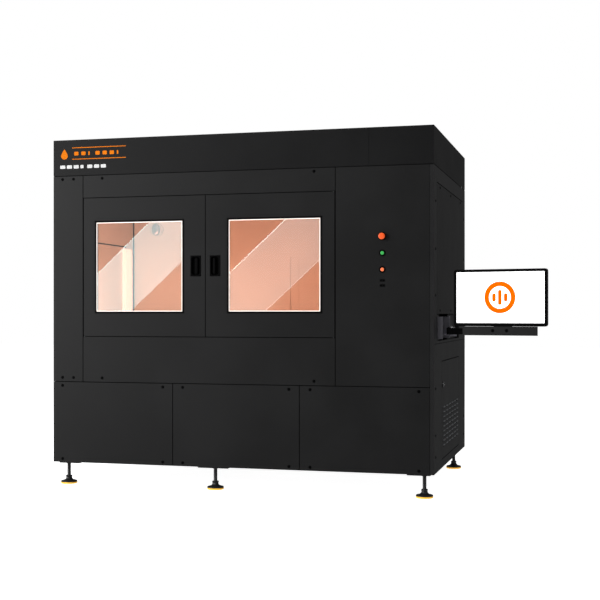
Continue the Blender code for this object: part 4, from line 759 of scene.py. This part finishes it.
# ---------------------------------------------------------------- header marking
def make_marking():
    """A drop, a row of bars between two rules and a row of dashes, in place of any name."""
    start, face = LEFT + 0.048, box("header_left")[0].y
    level = UNDERSIDE + MARKING_LEVEL
    orange, pale = [], []

    def strip(x, z, width, height, group):
        piece = raise_outline(plate(width, height, min(width, height) * 0.2, 2), [(0, ACCENT_HEIGHT)])
        group.append(stand(piece, Vector((start + x + width / 2, face, z))))

    strip(0.085, level + 0.038, 0.377, 0.0045, orange)
    strip(0.085, level - 0.036, 0.377, 0.0045, orange)
    for i, width in enumerate((0.030, 0.030, 0.010, 0.030, 0.030, 0.030, 0.010)):
        strip(0.100 + i * 0.050, level, width, 0.024, orange)
    drop_radius = 0.024
    drop = disc(drop_radius)
    shape = bmesh.from_edit_mesh(drop.data)
    for vertex in shape.verts:
        if vertex.co.y > 0:
            lift = vertex.co.y / drop_radius
            vertex.co.x *= max(0.0, 1 - lift) ** 0.5
            vertex.co.y *= 1.75
    bmesh.update_edit_mesh(drop.data)
    raise_outline(drop, [(0, ACCENT_HEIGHT)])
    orange.append(stand(drop, Vector((start + 0.030, face, level - 0.012))))
    for i, width in enumerate((0.036, 0.036, 0.036, 0.022, 0.036, 0.036, 0.036)):
        strip(i * 0.048, UNDERSIDE + DASHES_LEVEL, width, 0.022, pale)
    keep(join(*orange), "header_accent", "accent_orange")
    keep(join(*pale), "header_dashes", "accent_white")


# ---------------------------------------------------------------- right side
def make_side_fittings():
    door_low, door_high = box("access_door")
    first_y = (door_low.y + door_high.y) / 2 - (LOUVRE_COLUMNS - 1) / 2 * LOUVRE_PITCH_ACROSS
    first_z = door_low.z + 0.0795
    hood = raise_outline(plate(0.080, 0.0105, 0.002, 2), [(-0.001, 0.0030), (-0.0028, 0.0016)])
    soften(hood, 0.0004, 1)
    places = [(Vector((door_high.x, first_y + column * LOUVRE_PITCH_ACROSS,
                       first_z + row * LOUVRE_PITCH_UP)), "right")
              for column in range(LOUVRE_COLUMNS) for row in range(LOUVRE_ROWS)]
    # The hoods take the lighter louvre paint: a painted highlight along each louvre.
    keep(repeat(hood, places), "louvre_hoods", "louvre_paint_painted_highlight", "access_door")
    latch_low, latch_high = box("access_latch")
    axis = Vector((door_high.x, middle("access_latch").y, latch_low.z + 0.013))
    rose = hollow(disc(0.0195), 0.0058, 0.0025)
    keep(stand(soften(rose, 0.0008), axis, "right"), "latch_rose", "moulded_black", "access_door")
    wing = raise_outline(plate(0.0235, 0.0062, 0.0029), [(0, 0.0065), (-0.0008, 0.001)])
    stand(soften(wing, 0.0004, 1), Vector((latch_high.x - 0.001, axis.y, axis.z)), "right")
    keep(wing, "latch_wing", "bright_steel", "access_latch")
    seam_level = box("arm_bracket")[0].z - 0.028
    seam = bar(Vector((RIGHT - 0.0002, FRONT + 0.004, seam_level - 0.0015)),
               Vector((RIGHT + 0.0008, REAR - 0.004, seam_level + 0.0015)), RUBBER_SOFTNESS)
    keep(seam, "side_seam", "black_rubber_and_seam_shade")


# ---------------------------------------------------------------- monitor and its arm
def make_monitor_fittings():
    low, high = box("monitor_screen")
    centre = (low + high) / 2
    turn = math.radians(MONITOR_TURN)
    outward = Vector((math.sin(turn), -math.cos(turn), 0))
    along = Vector((math.cos(turn), math.sin(turn), 0))
    bezel = hollow(plate(0.5545, 0.3305, 0.0145, 6), 0.0160, 0.0016)
    stand(soften(bezel, 0.0007), centre + outward * 0.0032 - Vector((0, 0, 0.002)), MONITOR_TURN)
    keep(bezel, "monitor_bezel", "pull_black", "monitor")
    glass = centre + outward * 0.0016
    ring = hollow(disc(0.092, 64), 0.027, 0.0003)
    marks = [stand(ring, glass, MONITOR_TURN)]
    for x, length in ((-0.035, 0.046), (0.0, 0.086), (0.035, 0.046)):
        mark = raise_outline(plate(0.021, length, 0.008, 3), [(0, 0.0003)])
        marks.append(stand(mark, glass + along * x, MONITOR_TURN))
    keep(join(*marks), "screen_symbol", "symbol_orange", "monitor")
    joints = {joint["name"]: Vector(joint["pos_m"]) for joint in frame["joints"] if "pos_m" in joint}
    lip = joints["monitor_pan"] + outward * 0.104
    lip.z = box("keyboard_tray")[1].z - 0.024
    screws = [(lip + along * x, MONITOR_TURN) for x in (-0.0415, 0.0415)]
    keep(repeat(button_screw(), screws), "tray_screws", "screw_black_and_recess_shade", "keyboard_tray_slide")
    for joint, node, body in (("arm_base_swing", "arm_link_lower", "arm_lower"),
                              ("arm_elbow", "arm_link_upper", "arm_upper"),
                              ("monitor_pan", "arm_head", "monitor_head")):
        top = box(node)[1].z if body != "monitor_head" else box("arm_link_upper")[1].z + 0.051
        cap = turned([(0.024, 0), (0.024, 0.003), (0.021, 0.005), (0.010, 0.0055),
                      (0.0095, 0.0085), (0.006, 0.009)])
        point = joints[joint]
        stand(soften(cap, 0.0005, 1), Vector((point.x, point.y, top)), "top")
        keep(cap, f"{joint}_cap", "bright_steel", body)


# ---------------------------------------------------------------- build chamber
def make_chamber_fittings():
    wall_low, wall_high = box("chamber_wall_left")
    rear_low, rear_high = box("chamber_wall_rear")
    ceiling = box("chamber_ceiling")[0].z
    inner_left, inner_right = wall_high.x, box("chamber_wall_right")[0].x
    rear = rear_low.y
    base = box("recoater_beam")[1].z + 0.022

    hatch_y, hatch_top = (wall_low.y + 0.15, rear - 0.111), base + 0.535
    hatch_width, hatch_height = hatch_y[1] - hatch_y[0], hatch_top - base
    hatch = plate(hatch_width, hatch_height, 0.055, 6)
    raise_outline(hatch, [(0, 0.004), (-0.004, 0.0015), (-0.010, 0.0), (-0.004, -0.003), (-0.004, 0.0),
                          (-0.003, 0.002)])
    centre = Vector((inner_left, sum(hatch_y) / 2, (base + hatch_top) / 2))
    keep(stand(soften(hatch, 0.0008), centre, "right"), "chamber_hatch", "chamber_enamel")
    seal = hollow(plate(hatch_width + 0.016, hatch_height + 0.016, 0.060, 6), 0.012, 0.003)
    keep(stand(soften(seal, 0.0008), centre, "right"), "hatch_seal", "black_rubber_and_seam_shade")
    beads = [bar(Vector((x - 0.004, rear - 0.004, wall_low.z + 0.001)),
                 Vector((x + 0.004, rear, wall_high.z - 0.001)))
             for x in (inner_left + 0.004, inner_right - 0.004)]
    keep(join(*beads), "chamber_corner_beads", "black_rubber_and_seam_shade")

    column_y, column_top = (rear - 0.210, rear - 0.095), hatch_top - 0.012
    column = plate(column_y[1] - column_y[0], column_top - base, 0.012)
    raise_outline(column, [(0, 0.022), (-0.006, 0.006), (-0.012, 0.002)])
    centre = Vector((inner_left + 0.006, sum(column_y) / 2, (base + column_top) / 2))
    keep(stand(soften(column, 0.001), centre, "right"), "light_column", "lamp_diffuser")

    lamp = Vector((inner_left + 0.190, rear, ceiling - 0.136))
    rose = turned([(0.052, 0), (0.052, 0.006), (0.047, 0.010), (0.030, 0.011)], 40)
    keep(stand(soften(rose, 0.001), lamp), "bulkhead_lamp_plate", "chamber_enamel")
    shade = disc(0.030, 40)
    raise_outline(shade, [(0, 0.018), (-0.003, 0.008), (-0.008, 0.005), (-0.010, 0.002)])
    only(shade)
    shade.scale = (1.0, 1.45, 1.0)
    apply_place()
    stand(soften(shade, 0.001), lamp + Vector((0, -0.010, 0)))
    keep(shade, "bulkhead_lamp", "anodised_aluminium")

    lights = []
    for y in (wall_low.y + 0.05, rear - 0.06):
        low = Vector((inner_left + 0.10, y - 0.012, ceiling - 0.016))
        high = Vector((inner_right - 0.10, y + 0.012, ceiling - 0.0003))
        lights.append(bar(low, high, 0.003))
    keep(join(*lights), "ceiling_lights", "lamp_diffuser")

    slots = [middle("build_platform").x + shift for shift in (-SLOT_SHIFT, SLOT_SHIFT)]
    near, far = (rear_high.y + depth for depth in SLOT_COVER_DEPTHS)
    covers = [bar(Vector((x - SLOT_COVER_HALF_WIDTH, near, SLOT_COVER_LEVELS[0])),
                  Vector((x + SLOT_COVER_HALF_WIDTH, far, SLOT_COVER_LEVELS[1])), 0.0005)
              for x in slots]
    keep(join(*covers), "slot_covers", "chamber_enamel", "elevator")
    trims = []
    for x in slots:
        trim = hollow(plate(*SLOT_TRIM, 0.010), 0.009, 0.002)
        trims.append(stand(soften(trim, 0.0006), Vector((x, rear, SLOT_LEVEL))))
    keep(join(*trims), "slot_trims", "chamber_enamel")


# ---------------------------------------------------------------- rear, left side and roof
def make_service_fittings():
    rear_low, rear_high = box("rear_panel")
    guards, rims = [], []
    for x in (CABINET_X - 0.30, CABINET_X + 0.30):
        spot = Vector((x, REAR, FAN_LEVEL))
        rims.append(stand(soften(hollow(disc(0.150, 64), 0.014, 0.004), 0.0012), spot, "rear"))
        hub = turned([(0.030, 0), (0.030, 0.004), (0.026, 0.0055)])
        rims.append(stand(soften(hub, 0.001), spot, "rear"))
        for radius in (0.050, 0.070, 0.090, 0.110, 0.130):
            guards.append(stand(hollow(disc(radius + 0.0015, 48), 0.003, 0.0042), spot, "rear"))
        for i in range(4):
            spoke = raise_outline(plate(0.292, 0.004), [(0, 0.0025)])
            guards.append(stand(spoke, spot, "rear", roll=22.5 + i * 45))
    keep(join(*rims), "fan_rims", "moulded_black")
    keep(join(*guards), "fan_guards", "black_screw")
    vent = raise_outline(plate(0.180, 0.009, 0.003, 3), [(-0.001, 0.003), (-0.002, 0.0015)])
    soften(vent, 0.0004, 1)
    places = [(Vector((CABINET_X + x, REAR, REAR_LOUVRE_LEVEL + row * 0.028)), "rear")
              for x in (-0.66, -0.44, 0.44, 0.66) for row in range(10)]
    keep(repeat(vent, places), "rear_louvres", "cabinet_black")
    seams = []
    for x in (CABINET_X - 0.82, CABINET_X + 0.82):
        seams.append(bar(Vector((x - 0.0015, REAR - 0.0002, rear_low.z + 0.002)),
                         Vector((x + 0.0015, REAR + 0.0008, rear_high.z - 0.002)), RUBBER_SOFTNESS))
    keep(join(*seams), "rear_seams", "black_rubber_and_seam_shade")
    inlet_at = Vector((RIGHT - 0.24, REAR, INLET_LEVEL))
    inlet = plate(0.100, 0.120, 0.010)
    raise_outline(inlet, [(0, 0.004), (-0.003, 0.002), (-0.018, 0.0), (-0.002, -0.004)])
    cap = turned([(0.027, 0), (0.027, 0.006), (0.024, 0.008)])
    stand(soften(inlet, 0.001), inlet_at, "rear")
    stand(soften(cap, 0.001), inlet_at, "rear")
    keep(join(inlet, cap), "power_inlet", "moulded_black")
    gland = turned([(0.018, 0), (0.018, 0.004), (0.014, 0.0045), (0.014, 0.008)], 6)
    stand(soften(gland, 0.0006), inlet_at - Vector((0.13, 0, 0)), "rear")
    keep(gland, "cable_gland", "bright_steel")
    plugs = []
    roof = box("roof_panel")[1].z
    for x in (LEFT + 0.20, RIGHT - 0.20):
        for y in (FRONT + 0.20, REAR - 0.20):
            plug = turned([(0.026, 0), (0.026, 0.0015), (0.023, 0.0035), (0.010, 0.004)])
            plugs.append(stand(soften(plug, 0.0006), Vector((x, y, roof)), "top"))
    keep(join(*plugs), "lifting_point_plugs", "moulded_black")
    hatch = plate(0.90, 0.55, 0.012, 3)
    raise_outline(hatch, [(0, 0.0015), (-0.001, 0.0006)])
    stand(soften(hatch, 0.0005), Vector((CABINET_X, (FRONT + REAR) / 2 - 0.08, roof)), "top")
    keep(hatch, "optics_hatch", "header_black")


# ---------------------------------------------------------------- lights, floor and camera
CAMERA_RIGHT, CAMERA_AHEAD, CAMERA_LEVEL = 2.243, 6.827, 0.969
CAMERA_HEADING = 14.95
CAMERA_LENS = 68.7
CAMERA_SHIFT = 0.0225
MIRROR_REACH = 1.5
BAND_LENGTH, BAND_WIDTH, BAND_DROP = 1.15, 0.327, 0.008
BAND_TURN = -42
BAND_COLOUR = (0.62, 0.98, 1.0)
LINE_WIDTH = 0.006
CHAMBER_COLOUR = (1.0, 0.96, 0.92)


def make_camera():
    data = bpy.data.cameras.new("camera")
    data.lens, data.sensor_width, data.shift_y = CAMERA_LENS, 36, CAMERA_SHIFT
    camera = bpy.data.objects.new("camera", data)
    bpy.context.scene.collection.objects.link(camera)
    camera.location = (CABINET_X + CAMERA_RIGHT, FRONT - CAMERA_AHEAD, UNDERSIDE + CAMERA_LEVEL)
    camera.rotation_euler = (math.pi / 2, 0, math.radians(CAMERA_HEADING))
    bpy.context.scene.camera = camera
    return camera


def area_light(name, location, target, size, power, colour=(1, 1, 1)):
    data = bpy.data.lights.new(name, "AREA")
    data.shape = "RECTANGLE"
    data.size, data.size_y = size
    data.energy, data.color = power, colour
    lamp = bpy.data.objects.new(name, data)
    bpy.context.scene.collection.objects.link(lamp)
    lamp.location = location
    lamp.rotation_euler = (Vector(target) - Vector(location)).to_track_quat("-Z", "Y").to_euler()
    lamp.visible_camera = False
    return lamp


def pane_strip(camera, side, name, size, shift, radiance, turn):
    """A light that this door's pane alone mirrors.

    It seems to lie on the pane, at this shift from its middle, with this size and turn there.
    """
    low, high = box(f"{side}_door_glass")
    pane = Vector(((low.x + high.x) / 2 + shift[0], low.y, (low.z + high.z) / 2 + shift[1]))
    mirrored = Vector((camera.location.x, 2 * low.y - camera.location.y, camera.location.z))
    spot = mirrored + (pane - mirrored) * MIRROR_REACH
    size = (size[0] * MIRROR_REACH, size[1] * MIRROR_REACH)
    strip = area_light(f"{side}_pane_{name}", spot, spot + Vector((0, 1, 0)), size,
                       radiance * math.pi * size[0] * size[1], BAND_COLOUR)
    strip.rotation_euler = (math.pi / 2, math.radians(turn), 0)
    strip.visible_diffuse = strip.visible_transmission = False
    panes = bpy.data.collections.get(f"{side}_pane_only") or bpy.data.collections.new(f"{side}_pane_only")
    if not panes.objects:
        panes.objects.link(NODES[f"{side}_door_glass"])
    strip.light_linking.receiver_collection = panes


def make_window_reflection(camera, side, band, veil):
    """A diagonal band with brighter edges in this door's pane, and a faint veil over all of it."""
    turn = math.radians(BAND_TURN)
    pane_strip(camera, side, "band", (BAND_LENGTH, BAND_WIDTH), (0, -BAND_DROP), band, BAND_TURN)
    for name, sign, radiance in (("upper_line", 1, 18.0), ("lower_line", -1, 9.0)):
        out = sign * (BAND_WIDTH + LINE_WIDTH) / 2
        shift = (out * math.sin(turn), out * math.cos(turn) - BAND_DROP)
        pane_strip(camera, side, name, (BAND_LENGTH, LINE_WIDTH), shift, radiance, BAND_TURN)
    if veil:
        pane_strip(camera, side, "veil", (0.9, 0.9), (0, 0), veil, 0)


def make_lights(camera):
    area_light("key", (-6.5, -6.6, 3.8), (-0.6, -0.6, 1.1), (3.2, 4.2), 660)
    area_light("low_key", (-6.5, -6.6, 0.5), (-0.9, -0.6, 0.6), (3.2, 2.0), 240)
    area_light("overhead", (0.5, -1.5, 7.0), (0, 0, 0), (7, 7), 260)
    area_light("side", (6.5, -2.6, 2.4), (0.9, -0.1, 1.0), (3, 3), 22)
    low, high = box("chamber_ceiling")
    deck = box("work_deck")[1].z
    for side, x, power in (("left", low.x + 0.45, 5.4), ("right", high.x - 0.45, 2.4)):
        area_light(f"chamber_{side}", (x, low.y + 0.10, deck + 0.22), (x, high.y, deck + 0.25),
                   (0.8, 0.25), power, CHAMBER_COLOUR)
    x, y = (low.x + high.x) / 2, low.y + 0.45
    area_light("chamber_top", (x, y, low.z - 0.03), (x, y, deck), (1.5, 0.6), 1.6, CHAMBER_COLOUR)
    make_window_reflection(camera, "left", 10.5, 1.8)
    make_window_reflection(camera, "right", 4.5, 0)


def make_world():
    world = bpy.data.worlds.new("studio")
    world.use_nodes = True
    bpy.context.scene.world = world
    bpy.context.scene.view_settings.view_transform = "Standard"
    tree = world.node_tree
    background = tree.nodes["Background"]
    background.inputs["Color"].default_value = (1, 1, 1, 1)
    path = tree.nodes.new("ShaderNodeLightPath")
    strength = tree.nodes.new("ShaderNodeMapRange")
    strength.inputs["To Min"].default_value = 0.15
    strength.inputs["To Max"].default_value = 1.0
    tree.links.new(path.outputs["Is Camera Ray"], strength.inputs["Value"])
    tree.links.new(strength.outputs["Result"], background.inputs["Strength"])


def make_floor():
    deselect()
    bpy.ops.mesh.primitive_plane_add(size=1)
    floor = bpy.context.object
    floor.name = "studio_floor"
    floor.scale = (60, 60, 1)
    apply_place()
    paper = Finish("studio_paper", (0.9, 0.9, 0.9), 0.9, Specular_IOR_Level=0.0, Emission_Strength=0.95)
    paper.shader.inputs["Emission Color"].default_value = (1, 1, 1, 1)
    paper.shade(paper.noise(3, 2), 0.995, 1.005)
    floor.visible_glossy = False
    floor.data.materials.append(paper.material)


# ---------------------------------------------------------------- the whole machine
def main():
    make_panels()
    make_seam_shade_trims()
    make_backing_strips()
    make_door_seals()
    make_header_gasket()
    make_screws()
    make_feet()
    for side in ("left", "right"):
        make_door_fittings(side)
    make_controls()
    make_marking()
    make_side_fittings()
    make_monitor_fittings()
    make_chamber_fittings()
    make_service_fittings()
    make_world()
    make_floor()
    make_lights(make_camera())


main()
